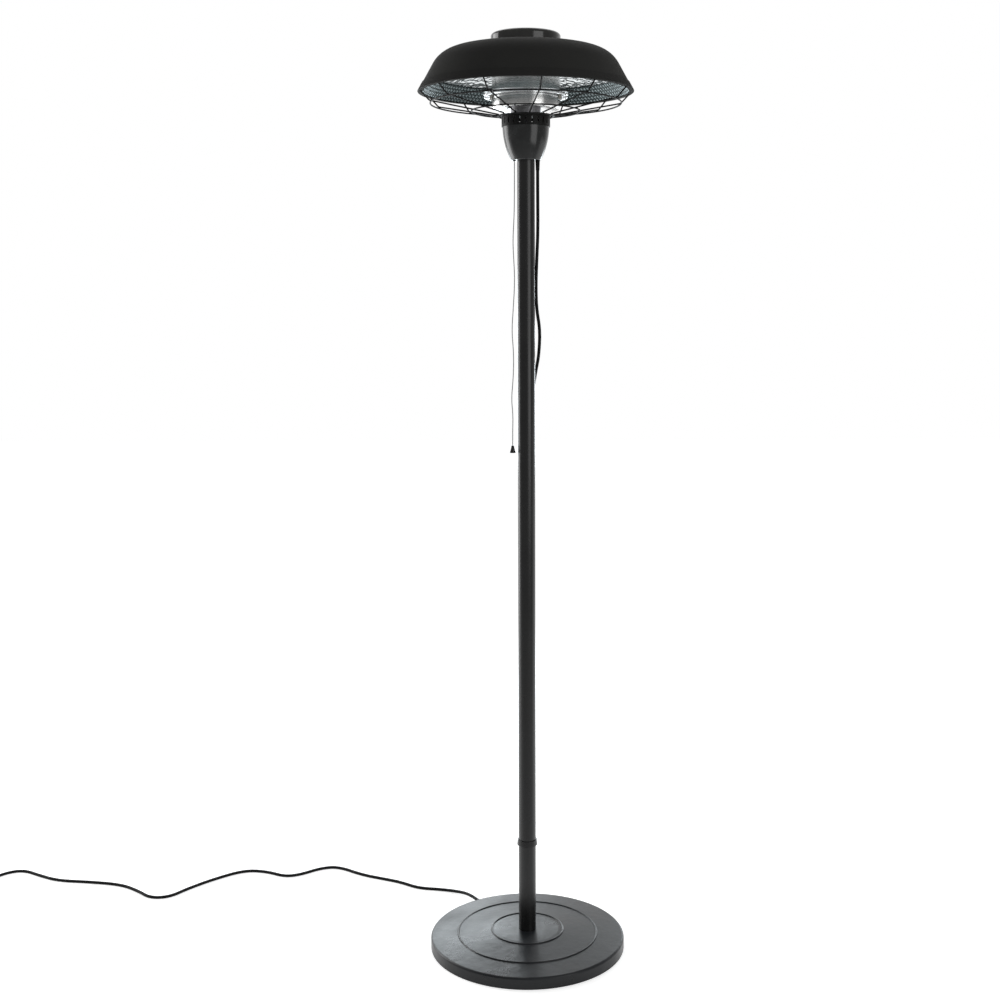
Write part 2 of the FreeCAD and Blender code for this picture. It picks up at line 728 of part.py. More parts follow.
def pole_socket():
    """Socket under the crown that the pole stands in, with a lip below and a flange above."""
    lip_bottom = POLE_BOTTOM - SOCKET_LIP_HEIGHT
    flange_bottom = CROWN_UNDERSIDE - SOCKET_FLANGE_THICKNESS
    flange_radius = SOCKET_RADIUS + SOCKET_FLANGE_WIDTH
    body = turned_corners(
        (POLE_HOLE - SOCKET_LIP_WIDTH, lip_bottom),
        (SOCKET_RADIUS, lip_bottom),
        (SOCKET_RADIUS, flange_bottom),
        (flange_radius, flange_bottom),
        (flange_radius, CROWN_UNDERSIDE),
        (POLE_HOLE, CROWN_UNDERSIDE),
        (POLE_HOLE, POLE_BOTTOM),
        (POLE_HOLE - SOCKET_LIP_WIDTH, POLE_BOTTOM),
    )
    return body.cut(set_screw_holes())


def pole_screw_places():
    """Cross screws: the points where their heads meet the pole, and their headings."""
    joint = [(90, JOINT_HEIGHT + side * JOINT_SCREW_OFFSET) for side in (-1, 1)]
    bush = [(angle, (BUSH_BOTTOM + POLE_TOP) / 2) for angle in (-90, 90)]
    return [(polar(POLE_RADIUS, angle, level), polar(1, angle)) for angle, level in joint + bush]


def pole_screws():
    """Cross screws through the pole into the spigot and the stem's bush."""
    depth = POLE_WALL + SLIP_FIT + SPIGOT_WALL + POLE_SCREW_TIP
    screws = []
    for p, out in pole_screw_places():
        shank = rod(p - out * depth, p, POLE_SCREW_RADIUS)
        head = rod(p, p + out * POLE_SCREW_HEAD_HEIGHT, POLE_SCREW_HEAD_RADIUS)
        screws.append(shank.fuse(head).removeSplitter())
    return screws


def pole_screw_holes():
    """Cutters for the cross screws."""
    depth = POLE_WALL + SLIP_FIT + SPIGOT_WALL + POLE_SCREW_TIP + CLEAR_GAP
    radius = POLE_SCREW_RADIUS + SLIP_FIT
    return [rod(p - out * depth, p + out * CUT_OVERRUN, radius) for p, out in pole_screw_places()]


def pole_boot_point(reach):
    """Point on the slanting axis of the boot in the pole's back, a reach out from the pole's face."""
    tilt = math.radians(POLE_BOOT_TILT)
    face = polar(POLE_RADIUS, POLE_BOOT_ANGLE, POLE_BOOT_HEIGHT)
    return face + polar(1, POLE_BOOT_ANGLE) * (reach * math.sin(tilt)) + UP * (reach * math.cos(tilt))


def lower_pole():
    """Short tube from the socket up to the joint."""
    return tube(POLE_BORE, POLE_RADIUS, POLE_BOTTOM, JOINT_HEIGHT).cut(pole_screw_holes())


def upper_pole():
    """Long tube from the joint up into the neck, with a slanting hole for the lead's boot."""
    inner_end = pole_boot_point(-POLE_BOOT_REACH_IN)
    entry = rod(inner_end, pole_boot_point(POLE_BOOT_REACH_OUT), BOOT_RADIUS + SLIP_FIT)
    return tube(POLE_BORE, POLE_RADIUS, JOINT_HEIGHT, POLE_TOP).cut(pole_screw_holes() + [entry])


def pole_collar():
    """Flared sleeve that hides the pole's joint."""
    inner = POLE_RADIUS + SLIP_FIT
    foot = flat(POLE_RADIUS + COLLAR_FLARE, COLLAR_BOTTOM_HEIGHT)
    top = flat(POLE_RADIUS + COLLAR_LIP, COLLAR_BOTTOM_HEIGHT + COLLAR_LENGTH)
    inner_foot = flat(inner, COLLAR_BOTTOM_HEIGHT)
    return turned(closed_wire(
        inner_foot,
        *round_off(inner_foot, foot, top, COLLAR_EDGE),
        top,
        flat(inner, COLLAR_BOTTOM_HEIGHT + COLLAR_LENGTH),
    ))


def joint_spigot():
    """Inner tube that joins the two poles."""
    half = SPIGOT_LENGTH / 2
    sleeve = tube(SPIGOT_RADIUS - SPIGOT_WALL, SPIGOT_RADIUS, JOINT_HEIGHT - half, JOINT_HEIGHT + half)
    return sleeve.cut(pole_screw_holes())


def pole_boot():
    """Tapered boot round the lead where it goes into the pole's back."""
    face = pole_boot_point(0)
    inside = rod(pole_boot_point(-POLE_BOOT_REACH_IN), face, BOOT_RADIUS)
    return inside.fuse(taper(face, pole_boot_point(POLE_BOOT_REACH_OUT), BOOT_RADIUS, BOOT_TIP_RADIUS))


def inner_lead():
    """Lead inside the pole and the base, from the pole's boot to the base's boot."""
    start = pole_boot_point(-POLE_BOOT_REACH_IN)
    heading = (pole_boot_point(-POLE_BOOT_REACH_IN) - pole_boot_point(0)).normalize()
    to_axis = math.hypot(start.x, start.y) / math.hypot(heading.x, heading.y)
    corner = start + heading * to_axis
    entry = [start, FreeCAD.Vector(0, 0, corner.z), FreeCAD.Vector(0, 0, JOINT_HEIGHT)]
    foot = FreeCAD.Vector(0, 0, BASE_BOOT_HEIGHT)
    boot_end, _ = base_boot_line(BASE_INNER_RADIUS - CLEAR_GAP - BASE_BOOT_RIM_THICKNESS, BASE_RADIUS)
    above, _ = route_edges(entry, lambda run, half: ENTRY_BEND_RADIUS)
    below, _ = route_edges([entry[-1], foot, boot_end], lambda run, half: INNER_LEAD_BEND_RADIUS)
    return swept(above + below, CORD_RADIUS)


# Neck


def cup_points(inset, bottom):
    """Bottom, belly and top of the cup's side, moved inwards by an inset."""
    belly = CUP_BOTTOM_RADIUS + (CUP_TOP_RADIUS - CUP_BOTTOM_RADIUS) * CUP_BELLY_REACH_SHARE
    return (
        flat(CUP_BOTTOM_RADIUS - inset / 2, bottom),
        flat(belly - inset, NECK_BOTTOM_HEIGHT + CUP_HEIGHT * CUP_BELLY_HEIGHT_SHARE),
        flat(CUP_TOP_RADIUS - inset, CUP_TOP),
    )


def cup_inner_radius(height):
    """Radius of the cup's inside at a height."""
    centre, radius = circle_through(*cup_points(CUP_WALL, CUP_FLOOR))
    reach = math.sqrt(radius**2 - (height - centre.z) ** 2)
    return centre.x + math.copysign(reach, CUP_TOP_RADIUS - centre.x)


def neck_cup():
    """Cup round the pole's top, with a collar inside that is clamped on the pole."""
    foot, belly, brim = cup_points(0, NECK_BOTTOM_HEIGHT + CUP_EDGE_RADIUS)
    inner_foot, inner_belly, inner_brim = cup_points(CUP_WALL, CUP_FLOOR)
    collar_radius = POLE_HOLE + CUP_COLLAR_WALL
    collar_top = CUP_FLOOR + CUP_COLLAR_HEIGHT
    cup = turned(closed_wire(
        flat(POLE_HOLE, NECK_BOTTOM_HEIGHT),
        flat(CUP_BOTTOM_RADIUS - CUP_EDGE_RADIUS, NECK_BOTTOM_HEIGHT),
        foot,
        (belly, brim),
        inner_brim,
        (inner_belly, inner_foot),
        flat(collar_radius, CUP_FLOOR),
        flat(collar_radius, collar_top),
        flat(POLE_HOLE, collar_top),
    ))
    gland = FreeCAD.Vector(GLAND_X, GLAND_Y, CUP_FLOOR)
    bush = FreeCAD.Vector(PULL_X, 0, CUP_FLOOR)
    below = UP * (CUP_WALL + CUT_OVERRUN)
    gland_hole = BOOT_RADIUS + SLIP_FIT
    bush_hole = PULL_BUSH_RADIUS + SLIP_FIT
    fittings = [
        rod(gland - below, gland, gland_hole),
        rod(gland, gland + UP * BOOT_RIM_THICKNESS * 2, gland_hole + BOOT_RIM_WIDTH),
        rod(bush - below, bush, bush_hole),
        rod(bush, bush + UP * PULL_BUSH_RIM_THICKNESS * 2, bush_hole + PULL_BUSH_RIM_WIDTH),
    ]
    return cup.cut(set_screw_holes() + fittings)


def vent_ring():
    """Slotted band on top of the cup, with a lap that sits inside it."""
    lap_outer = CUP_TOP_RADIUS - CUP_WALL - CLEAR_GAP
    inner = VENT_RADIUS - VENT_WALL
    band = turned_corners(
        (VENT_RADIUS, CUP_TOP),
        (VENT_RADIUS, VENT_TOP),
        (inner, VENT_TOP),
        (inner, CUP_TOP + VENT_FLOOR),
        (lap_outer - VENT_LAP_WALL, CUP_TOP + VENT_FLOOR),
        (lap_outer - VENT_LAP_WALL, CUP_TOP - VENT_LAP),
        (lap_outer, CUP_TOP - VENT_LAP),
        (lap_outer, CUP_TOP),
    )
    half = VENT_SLOT_WIDTH / 2
    slot = block(FreeCAD.Vector(inner - VENT_WALL, -half, CUP_TOP + VENT_SLOT_MARGIN),
                 FreeCAD.Vector(VENT_RADIUS + CUT_OVERRUN, half, VENT_TOP - VENT_SLOT_MARGIN))
    return band.cut(around(slot, VENT_SLOT_COUNT))


def lead_angles():
    """Angles of the four lamp sockets, and of the leads that reach them."""
    return [-LAMP_END_ANGLE, LAMP_END_ANGLE, 180 - LAMP_END_ANGLE, 180 + LAMP_END_ANGLE]


def lead_holes(bottom, top):
    """Cutters for the lamp leads through a plate."""
    starts = [polar(LEAD_CIRCLE_RADIUS, angle, bottom - CUT_OVERRUN) for angle in lead_angles()]
    length = UP * (top - bottom + 2 * CUT_OVERRUN)
    return [rod(start, start + length, LEAD_RADIUS + LEAD_HOLE_GAP) for start in starts]


def neck_lid():
    """Lid on the slotted band."""
    lid = tube(STEM_HOLE, VENT_RADIUS + LID_OVERHANG, VENT_TOP, LID_TOP)
    return lid.cut(lead_holes(VENT_TOP, LID_TOP))


def stem():
    """Hollow stem with a foot under its bush, on which the head is stacked."""
    foot_radius = STEM_RADIUS + STEM_FOOT_MARGIN
    bore = STEM_RADIUS - STEM_WALL
    return turned_corners(
        (bore, BUSH_BOTTOM - STEM_FOOT_HEIGHT),
        (foot_radius, BUSH_BOTTOM - STEM_FOOT_HEIGHT),
        (foot_radius, BUSH_BOTTOM),
        (STEM_RADIUS, BUSH_BOTTOM),
        (STEM_RADIUS, STEM_TOP),
        (bore, STEM_TOP),
    )


def stem_bush():
    """Bush that centres the stem in the pole's top."""
    outer = POLE_BORE - SLIP_FIT
    bush = turned_corners(
        (STEM_HOLE, BUSH_BOTTOM),
        (outer, BUSH_BOTTOM),
        (outer, POLE_TOP),
        (POLE_RADIUS, POLE_TOP),
        (POLE_RADIUS, CHASSIS_BOTTOM),
        (STEM_HOLE, CHASSIS_BOTTOM),
    )
    return bush.cut(pole_screw_holes())


def stem_nut():
    """Nut that clamps the chassis on the bush."""
    hole = rod(UP * (CHASSIS_TOP - CUT_OVERRUN), UP * (STEM_NUT_TOP + CUT_OVERRUN), STEM_HOLE)
    return hexagon(STEM_NUT_ACROSS, CHASSIS_TOP, STEM_NUT_TOP).cut(hole)


def stem_spacers():
    """Spacers between lid and drum, drum and reflector, and reflector and hood."""
    low = tube(NECK_SPACER_RADIUS - SPACER_WALL, NECK_SPACER_RADIUS, LID_TOP, DRUM_BOTTOM)
    middle = tube(STEM_HOLE, SPACER_RADIUS, DRUM_BOTTOM + DRUM_WALL, DRUM_TOP)
    high = tube(STEM_HOLE, SPACER_RADIUS, REFLECTOR_TOP, REFLECTOR_TOP + HOOD_SPACER_LENGTH)
    return [low, middle, high]


def fixing_places():
    """Places of the screws that hold the terminal block, the tilt frame and the switch on the chassis."""
    switch_side = (SWITCH_BORE_RADIUS + SWITCH_WIDTH / 2) / 2
    terminal = [(TERMINAL_X, side * TERMINAL_LENGTH / 3) for side in (-1, 1)]
    tilt = [(side * TILT_FRAME_LENGTH / 4, TILT_Y) for side in (-1, 1)]
    switch = [(PULL_X, side * switch_side) for side in (-1, 1)]
    return [FreeCAD.Vector(x, y, CHASSIS_TOP) for x, y in terminal + tilt + switch]


def fixing_holes():
    """Cutters for those screws."""
    below = UP * (CHASSIS_THICKNESS + CUT_OVERRUN)
    above = UP * (FIXING_DEPTH + CLEAR_GAP)
    return [rod(p - below, p + above, FIXING_RADIUS + SLIP_FIT) for p in fixing_places()]


def chassis_screws():
    """Screws from under the chassis into what stands on it."""
    screws = []
    for p in fixing_places():
        seat = p - UP * CHASSIS_THICKNESS
        shank = rod(seat, p + UP * FIXING_DEPTH, FIXING_RADIUS)
        head = rod(seat - UP * FIXING_HEAD_HEIGHT, seat, FIXING_HEAD_RADIUS)
        screws.append(head.fuse(shank).removeSplitter())
    return screws


def neck_chassis():
    """Round plate in the cup that carries the electrical pieces."""
    plate = tube(STEM_HOLE, cup_inner_radius(CHASSIS_BOTTOM) - SLIP_FIT, CHASSIS_BOTTOM, CHASSIS_TOP)
    low = UP * (CHASSIS_BOTTOM - CUT_OVERRUN)
    high = UP * (CHASSIS_TOP + CUT_OVERRUN)
    lead_place = FreeCAD.Vector(GLAND_X, GLAND_Y, 0)
    pull_place = FreeCAD.Vector(PULL_X, 0, 0)
    lead_hole = rod(lead_place + low, lead_place + high, CORD_RADIUS + LEAD_HOLE_GAP)
    pull_hole = rod(pull_place + low, pull_place + high, PLUNGER_STEM_RADIUS + LEAD_HOLE_GAP)
    return plate.cut(fixing_holes() + [lead_hole, pull_hole])


def terminal_block():
    """Ceramic terminal block with a row of screw wells."""
    half_x = TERMINAL_WIDTH / 2
    half_y = TERMINAL_LENGTH / 2
    top = CHASSIS_TOP + TERMINAL_HEIGHT
    low = FreeCAD.Vector(TERMINAL_X - half_x, -half_y, CHASSIS_TOP)
    body = block(low, FreeCAD.Vector(TERMINAL_X + half_x, half_y, top))
    pitch = TERMINAL_LENGTH / TERMINAL_WELL_COUNT
    well_x = TERMINAL_X + TERMINAL_WIDTH / 4
    wells = []
    for k in range(TERMINAL_WELL_COUNT):
        mouth = FreeCAD.Vector(well_x, pitch * (k + 0.5) - half_y, top)
        wells.append(rod(mouth - UP * TERMINAL_WELL_DEPTH, mouth + UP * CUT_OVERRUN, TERMINAL_WELL_RADIUS))
    return body.cut(wells + fixing_holes())


def neck_gland():
    """Moulded gland with a tapered boot where the lead leaves the cup."""
    rim_radius = BOOT_RADIUS + BOOT_RIM_WIDTH
    gland = turned_corners(
        (0, CUP_FLOOR + BOOT_RIM_THICKNESS),
        (rim_radius, CUP_FLOOR + BOOT_RIM_THICKNESS),
        (rim_radius, CUP_FLOOR),
        (BOOT_RADIUS, CUP_FLOOR),
        (BOOT_RADIUS, NECK_BOTTOM_HEIGHT),
        (rim_radius, NECK_BOTTOM_HEIGHT),
        (rim_radius, NECK_BOTTOM_HEIGHT - BOOT_RIM_THICKNESS),
        (BOOT_RADIUS, NECK_BOTTOM_HEIGHT - BOOT_RIM_THICKNESS),
        (BOOT_TIP_RADIUS, NECK_BOTTOM_HEIGHT - BOOT_LENGTH),
        (0, NECK_BOTTOM_HEIGHT - BOOT_LENGTH),
    )
    return moved(gland, GLAND_X, GLAND_Y)


def neck_leads():
    """Lead's tail to the terminal block, links between the blocks, and four leads up to the lamps."""
    tail_foot = FreeCAD.Vector(GLAND_X, GLAND_Y, CUP_FLOOR + BOOT_RIM_THICKNESS)
    tail = rod(tail_foot, FreeCAD.Vector(GLAND_X, GLAND_Y, CHASSIS_TOP), CORD_RADIUS)
    level = CHASSIS_TOP + TERMINAL_HEIGHT / 2
    links = []
    for x, y, side in ((TERMINAL_X, TERMINAL_LENGTH / 2, 1), (PULL_X, SWITCH_WIDTH / 2, -1)):
        points = [
            FreeCAD.Vector(x, y, level),
            FreeCAD.Vector(x, TILT_Y, level),
            FreeCAD.Vector(side * TILT_FRAME_LENGTH / 2, TILT_Y, level),
        ]
        links.append(bent_rod(points, LEAD_BEND_RADIUS, LEAD_RADIUS))
    lamp_leads = []
    for angle in lead_angles():
        on_terminal = abs(angle) < 90
        start = CHASSIS_TOP + TERMINAL_HEIGHT if on_terminal else SWITCH_TOP + SWITCH_LID_THICKNESS
        points = [
            polar(LEAD_CIRCLE_RADIUS, angle, start),
            polar(LEAD_CIRCLE_RADIUS, angle, LAMP_LEVEL),
            polar(DRUM_RADIUS - SOCKET_REACH_IN, angle, LAMP_LEVEL),
        ]
        lamp_leads.append(bent_rod(points, LEAD_BEND_RADIUS, LEAD_RADIUS))
    return [tail] + links + lamp_leads


# Pull switch and tilt switch


def switch_box(bottom, top):
    """Block with the switch's footprint between two heights."""
    half_x = SWITCH_LENGTH / 2
    half_y = SWITCH_WIDTH / 2
    low = FreeCAD.Vector(PULL_X - half_x, -half_y, bottom)
    return block(low, FreeCAD.Vector(PULL_X + half_x, half_y, top))


def pull_rod(bottom, top, radius):
    """Upright round bar on the pull cord's line."""
    return rod(FreeCAD.Vector(PULL_X, 0, bottom), FreeCAD.Vector(PULL_X, 0, top), radius)


def switch_body():
    """Body with a bore for the plunger and the rotor."""
    bore = pull_rod(SWITCH_BORE_BOTTOM, SWITCH_TOP + CUT_OVERRUN, SWITCH_BORE_RADIUS)
    way_out = pull_rod(CHASSIS_TOP - CUT_OVERRUN, SWITCH_TOP, PLUNGER_STEM_RADIUS + CLEAR_GAP)
    return switch_box(CHASSIS_TOP, SWITCH_TOP).cut([bore, way_out] + fixing_holes())


def switch_lid():
    """Lid with a bearing hole for the rotor's pin."""
    middle = SWITCH_TOP + SWITCH_LID_THICKNESS / 2
    hole = pull_rod(SWITCH_TOP - CUT_OVERRUN, middle, ROTOR_PIN_RADIUS + RUNNING_FIT)
    return switch_box(SWITCH_TOP, SWITCH_TOP + SWITCH_LID_THICKNESS).cut(hole)


def switch_plunger():
    """Plunger that the cord pulls down against the spring."""
    head = pull_rod(PLUNGER_BOTTOM, PLUNGER_TOP, SWITCH_BORE_RADIUS - CLEAR_GAP)
    return head.fuse(pull_rod(PLUNGER_TAIL, PLUNGER_BOTTOM, PLUNGER_STEM_RADIUS)).removeSplitter()


def spring_place(turns):
    """Point of the return spring after some turns."""
    foot = SWITCH_BORE_BOTTOM + SPRING_WIRE_RADIUS + RUNNING_FIT
    head = PLUNGER_BOTTOM - SPRING_WIRE_RADIUS - RUNNING_FIT
    circle = polar(SPRING_RADIUS, 360 * turns, foot + (head - foot) * turns / SPRING_TURNS)
    return circle + FreeCAD.Vector(PULL_X, 0, 0)


def switch_spring():
    """Return spring round the plunger's stem."""
    print(f"switch_spring: least gap {least_gap(spring_place, SPRING_TURNS, SPRING_WIRE_RADIUS):.2f}")
    return swept(wound_edges(spring_place, SPRING_TURNS), SPRING_WIRE_RADIUS)


def switch_rotor():
    """Index rotor that each pull turns by a quarter."""
    bottom = PLUNGER_TOP + CLEAR_GAP
    top = bottom + ROTOR_HEIGHT
    disc = pull_rod(bottom, top, SWITCH_BORE_RADIUS - CLEAR_GAP)
    pin = pull_rod(top, SWITCH_TOP + SWITCH_LID_THICKNESS / 2 - CLEAR_GAP, ROTOR_PIN_RADIUS)
    half = ROTOR_NOTCH_WIDTH / 2
    notch = block(FreeCAD.Vector(ROTOR_PIN_RADIUS + half, -half, top - ROTOR_NOTCH_DEPTH),
                  FreeCAD.Vector(SWITCH_BORE_RADIUS, half, top + CUT_OVERRUN))
    notches = [moved(n, PULL_X, 0) for n in around(notch, ROTOR_NOTCH_COUNT)]
    return disc.cut(notches).fuse(pin).removeSplitter()


def tilt_pin_line(half_length):
    """Ends of the tilt pendulum's pivot."""
    level = CHASSIS_TOP + TILT_FRAME_HEIGHT - TILT_PIN_DROP
    return FreeCAD.Vector(-half_length, TILT_Y, level), FreeCAD.Vector(half_length, TILT_Y, level)


def tilt_frame():
    """Frame with a floor, a front and two sides that carry the pendulum's pin."""
    half_x = TILT_FRAME_LENGTH / 2
    half_y = TILT_FRAME_DEPTH / 2
    top = CHASSIS_TOP + TILT_FRAME_HEIGHT
    low = FreeCAD.Vector(-half_x, TILT_Y - half_y, CHASSIS_TOP)
    high = FreeCAD.Vector(half_x, TILT_Y + half_y, top)
    hollow = block(low + FreeCAD.Vector(TILT_FRAME_WALL, TILT_FRAME_WALL, TILT_FRAME_FLOOR),
                   high + FreeCAD.Vector(-TILT_FRAME_WALL, CUT_OVERRUN, CUT_OVERRUN))
    pin_hole = rod(*tilt_pin_line(half_x + CUT_OVERRUN), TILT_PIN_RADIUS + RUNNING_FIT)
    return block(low, high).cut([hollow, pin_hole] + fixing_holes())


def tilt_pendulum():
    """Pendulum with its pin, arm and bob, which opens the circuit when the heater tips."""
    pin_start, pin_end = tilt_pin_line(TILT_FRAME_LENGTH / 2)
    bob_level = CHASSIS_TOP + TILT_FRAME_FLOOR + TILT_BOB_LIFT + TILT_BOB_RADIUS
    half_bob = TILT_BOB_LENGTH / 2
    bob_end = FreeCAD.Vector(half_bob, TILT_Y, bob_level)
    bob = rod(FreeCAD.Vector(-half_bob, TILT_Y, bob_level), bob_end, TILT_BOB_RADIUS)
    half_width = TILT_ARM_WIDTH / 2
    half_thickness = TILT_ARM_THICKNESS / 2
    arm = block(FreeCAD.Vector(-half_width, TILT_Y - half_thickness, bob_level),
                FreeCAD.Vector(half_width, TILT_Y + half_thickness, pin_start.z))
    return rod(pin_start, pin_end, TILT_PIN_RADIUS).fuse([arm, bob]).removeSplitter()


# Pull cord


def pull_bush():
    """Bush in the cup's floor that the pull cord runs through."""
    rim_radius = PULL_BUSH_RADIUS + PULL_BUSH_RIM_WIDTH
    bore = PULL_CORD_RADIUS + PULL_BUSH_GAP
    bush = turned_corners(
        (bore, NECK_BOTTOM_HEIGHT - PULL_BUSH_RIM_THICKNESS),
        (rim_radius, NECK_BOTTOM_HEIGHT - PULL_BUSH_RIM_THICKNESS),
        (rim_radius, NECK_BOTTOM_HEIGHT),
        (PULL_BUSH_RADIUS, NECK_BOTTOM_HEIGHT),
        (PULL_BUSH_RADIUS, CUP_FLOOR),
        (rim_radius, CUP_FLOOR),
        (rim_radius, CUP_FLOOR + PULL_BUSH_RIM_THICKNESS),
        (bore, CUP_FLOOR + PULL_BUSH_RIM_THICKNESS),
    )
    return moved(bush, PULL_X, 0)


def pull_cord():
    """Thin cord from the plunger down to the bell."""
    points = [FreeCAD.Vector(PULL_X, 0, PLUNGER_TAIL)] + [FreeCAD.Vector(*p) for p in PULL_ROUTE]
    return free_cord("pull_cord", points, PULL_CORD_RADIUS)


def pull_bell():
    """Bell-shaped pull on the cord's end, hollow below."""
    x, y, top = PULL_ROUTE[-1]
    bottom = top - BELL_HEIGHT
    waist = flat(BELL_WAIST_RADIUS, top - BELL_HEIGHT * BELL_WAIST_SHARE)
    mouth = BELL_RADIUS - BELL_WALL
    bell = turned(closed_wire(
        flat(0, top),
        flat(BELL_TOP_RADIUS, top),
        (waist, flat(BELL_RADIUS, bottom)),
        flat(mouth, bottom),
        flat(BELL_TOP_RADIUS, bottom + BELL_HOLLOW_DEPTH),
        flat(0, bottom + BELL_HOLLOW_DEPTH),
    ))
    return moved(bell, x, y)


# Drum and lamps


def socket_axis(angle, start_radius, end_radius):
    """Two points on the axis of a lamp socket."""
    return polar(start_radius, angle, LAMP_LEVEL), polar(end_radius, angle, LAMP_LEVEL)


def lamp_drum():
    """Polished drum on the stem, with holes for the lamp sockets and their leads."""
    corner = flat(DRUM_RADIUS, DRUM_BOTTOM)
    inner_radius = DRUM_RADIUS - DRUM_WALL
    floor = DRUM_BOTTOM + DRUM_WALL
    inner_corner = flat(inner_radius, floor)
    drum = turned(closed_wire(
        flat(STEM_HOLE, DRUM_BOTTOM),
        *round_off(flat(STEM_HOLE, DRUM_BOTTOM), corner, flat(DRUM_RADIUS, DRUM_TOP), DRUM_EDGE_RADIUS),
        flat(DRUM_RADIUS, DRUM_TOP),
        flat(inner_radius, DRUM_TOP),
        *round_off(flat(inner_radius, DRUM_TOP), inner_corner, flat(STEM_HOLE, floor),
                   DRUM_EDGE_RADIUS - DRUM_WALL),
        flat(STEM_HOLE, floor),
    ))
    sockets = [rod(*socket_axis(angle, DRUM_RADIUS - SOCKET_REACH_IN, DRUM_RADIUS + CUT_OVERRUN),
                   SOCKET_BODY_RADIUS + SLIP_FIT) for angle in lead_angles()]
    return drum.cut(sockets + lead_holes(DRUM_BOTTOM, floor))


def lamp_sockets():
    """Ceramic sockets in the drum's wall, two on each side."""
    sockets = []
    for angle in lead_angles():
        axis = socket_axis(angle, DRUM_RADIUS - SOCKET_REACH_IN, DRUM_RADIUS + SOCKET_REACH_OUT)
        body = rod(*axis, SOCKET_BODY_RADIUS)
        rim_start = DRUM_RADIUS + CLEAR_GAP
        rim = rod(*socket_axis(angle, rim_start, rim_start + SOCKET_RIM_THICKNESS), SOCKET_RIM_RADIUS)
        sockets.append(body.fuse(rim).removeSplitter())
    return sockets


def lamp_path(first_angle, last_angle):
    """Path of a half-ring lamp: a leg out of its socket, a bend, the ring, a bend and a leg back in."""
    start_radius = DRUM_RADIUS + SOCKET_REACH_OUT
    bend_circle = LAMP_RADIUS - LAMP_BEND_RADIUS
    lean = math.degrees(math.asin(LAMP_BEND_RADIUS / bend_circle))
    leg_radius = math.sqrt(bend_circle**2 - LAMP_BEND_RADIUS**2)

    def bend(angle, side):
        leg_end = polar(leg_radius, angle, LAMP_LEVEL)
        centre = polar(bend_circle, angle + side * lean, LAMP_LEVEL)
        ring_start = polar(LAMP_RADIUS, angle + side * lean, LAMP_LEVEL)
        to_middle = ((leg_end - centre).normalize() + (ring_start - centre).normalize()).normalize()
        return leg_end, centre + to_middle * LAMP_BEND_RADIUS, ring_start

    leg_end, bend_middle, ring_start = bend(first_angle, 1)
    last_leg_end, last_bend_middle, ring_end = bend(last_angle, -1)
    ring_middle = polar(LAMP_RADIUS, (first_angle + last_angle) / 2, LAMP_LEVEL)
    return [
        Part.LineSegment(polar(start_radius, first_angle, LAMP_LEVEL), leg_end).toShape(),
        Part.Arc(leg_end, bend_middle, ring_start).toShape(),
        Part.Arc(ring_start, ring_middle, ring_end).toShape(),
        Part.Arc(ring_end, last_bend_middle, last_leg_end).toShape(),
        Part.LineSegment(last_leg_end, polar(start_radius, last_angle, LAMP_LEVEL)).toShape(),
    ]


def lamp_paths():
    """Paths of the front lamp and the rear lamp."""
    front = lamp_path(180 + LAMP_END_ANGLE, 360 - LAMP_END_ANGLE)
    rear = lamp_path(LAMP_END_ANGLE, 180 - LAMP_END_ANGLE)
    return [front, rear]


def lamp_tubes():
    """Quartz tubes of the two lamps."""
    bore = LAMP_TUBE_RADIUS - LAMP_TUBE_WALL
    return [swept(path, LAMP_TUBE_RADIUS).cut(swept(path, bore)) for path in lamp_paths()]


def lamp_filaments():
    """Filaments along the middle of the tubes, from socket to socket."""
    return [swept(path, FILAMENT_RADIUS) for path in lamp_paths()]


# Reflector and hood


def skirt_radius(offset, height):
    """Radius at a height on the hood's straight skirt, moved inwards by an offset."""
    lean = math.radians(HOOD_SKIRT_ANGLE)
    return HOOD_RIM_RADIUS - (height - RIM_HEIGHT) * math.tan(lean) - offset / math.cos(lean)


def hood_side(offset, bottom):
    """Points of the hood's outline moved inwards by an offset, from the rim up to the stem's hole."""
    lean = math.radians(HOOD_SKIRT_ANGLE)
    inwards = flat(-math.cos(lean), -math.sin(lean))
    upwards = flat(-math.sin(lean), math.cos(lean))
    crown_centre = flat(0, HOOD_APEX - HOOD_CROWN_RADIUS)
    line_start = flat(HOOD_RIM_RADIUS, RIM_HEIGHT) + inwards * HOOD_SHOULDER_RADIUS
    away = line_start - crown_centre
    along = away.dot(upwards)
    reach = (HOOD_CROWN_RADIUS - HOOD_SHOULDER_RADIUS) ** 2 - away.dot(away) + along**2
    shoulder_centre = line_start + upwards * (math.sqrt(reach) - along)
    outwards = inwards * -1
    crown_way = (shoulder_centre - crown_centre).normalize()
    crown_radius = HOOD_CROWN_RADIUS - offset
    shoulder_radius = HOOD_SHOULDER_RADIUS - offset
    hole_way = flat(STEM_HOLE, math.sqrt(crown_radius**2 - STEM_HOLE**2)).normalize()
    return [
        flat(skirt_radius(offset, bottom), bottom),
        shoulder_centre + outwards * shoulder_radius,
        shoulder_centre + (outwards + crown_way).normalize() * shoulder_radius,
        shoulder_centre + crown_way * shoulder_radius,
        crown_centre + (crown_way + hole_way).normalize() * crown_radius,
        crown_centre + hole_way * crown_radius,
    ]


def hood():
    """Spun sheet dome with a straight skirt."""
    rim, skirt_end, shoulder, crown_start, crown, top = hood_side(0, LIP_TOP)
    in_rim, in_skirt_end, in_shoulder, in_crown_start, in_crown, in_top = hood_side(HOOD_WALL, LIP_TOP)
    return turned(closed_wire(
        rim,
        skirt_end,
        (shoulder, crown_start),
        (crown, top),
        in_top,
        (in_crown, in_crown_start),
        (in_shoulder, in_skirt_end),
        in_rim,
    ))


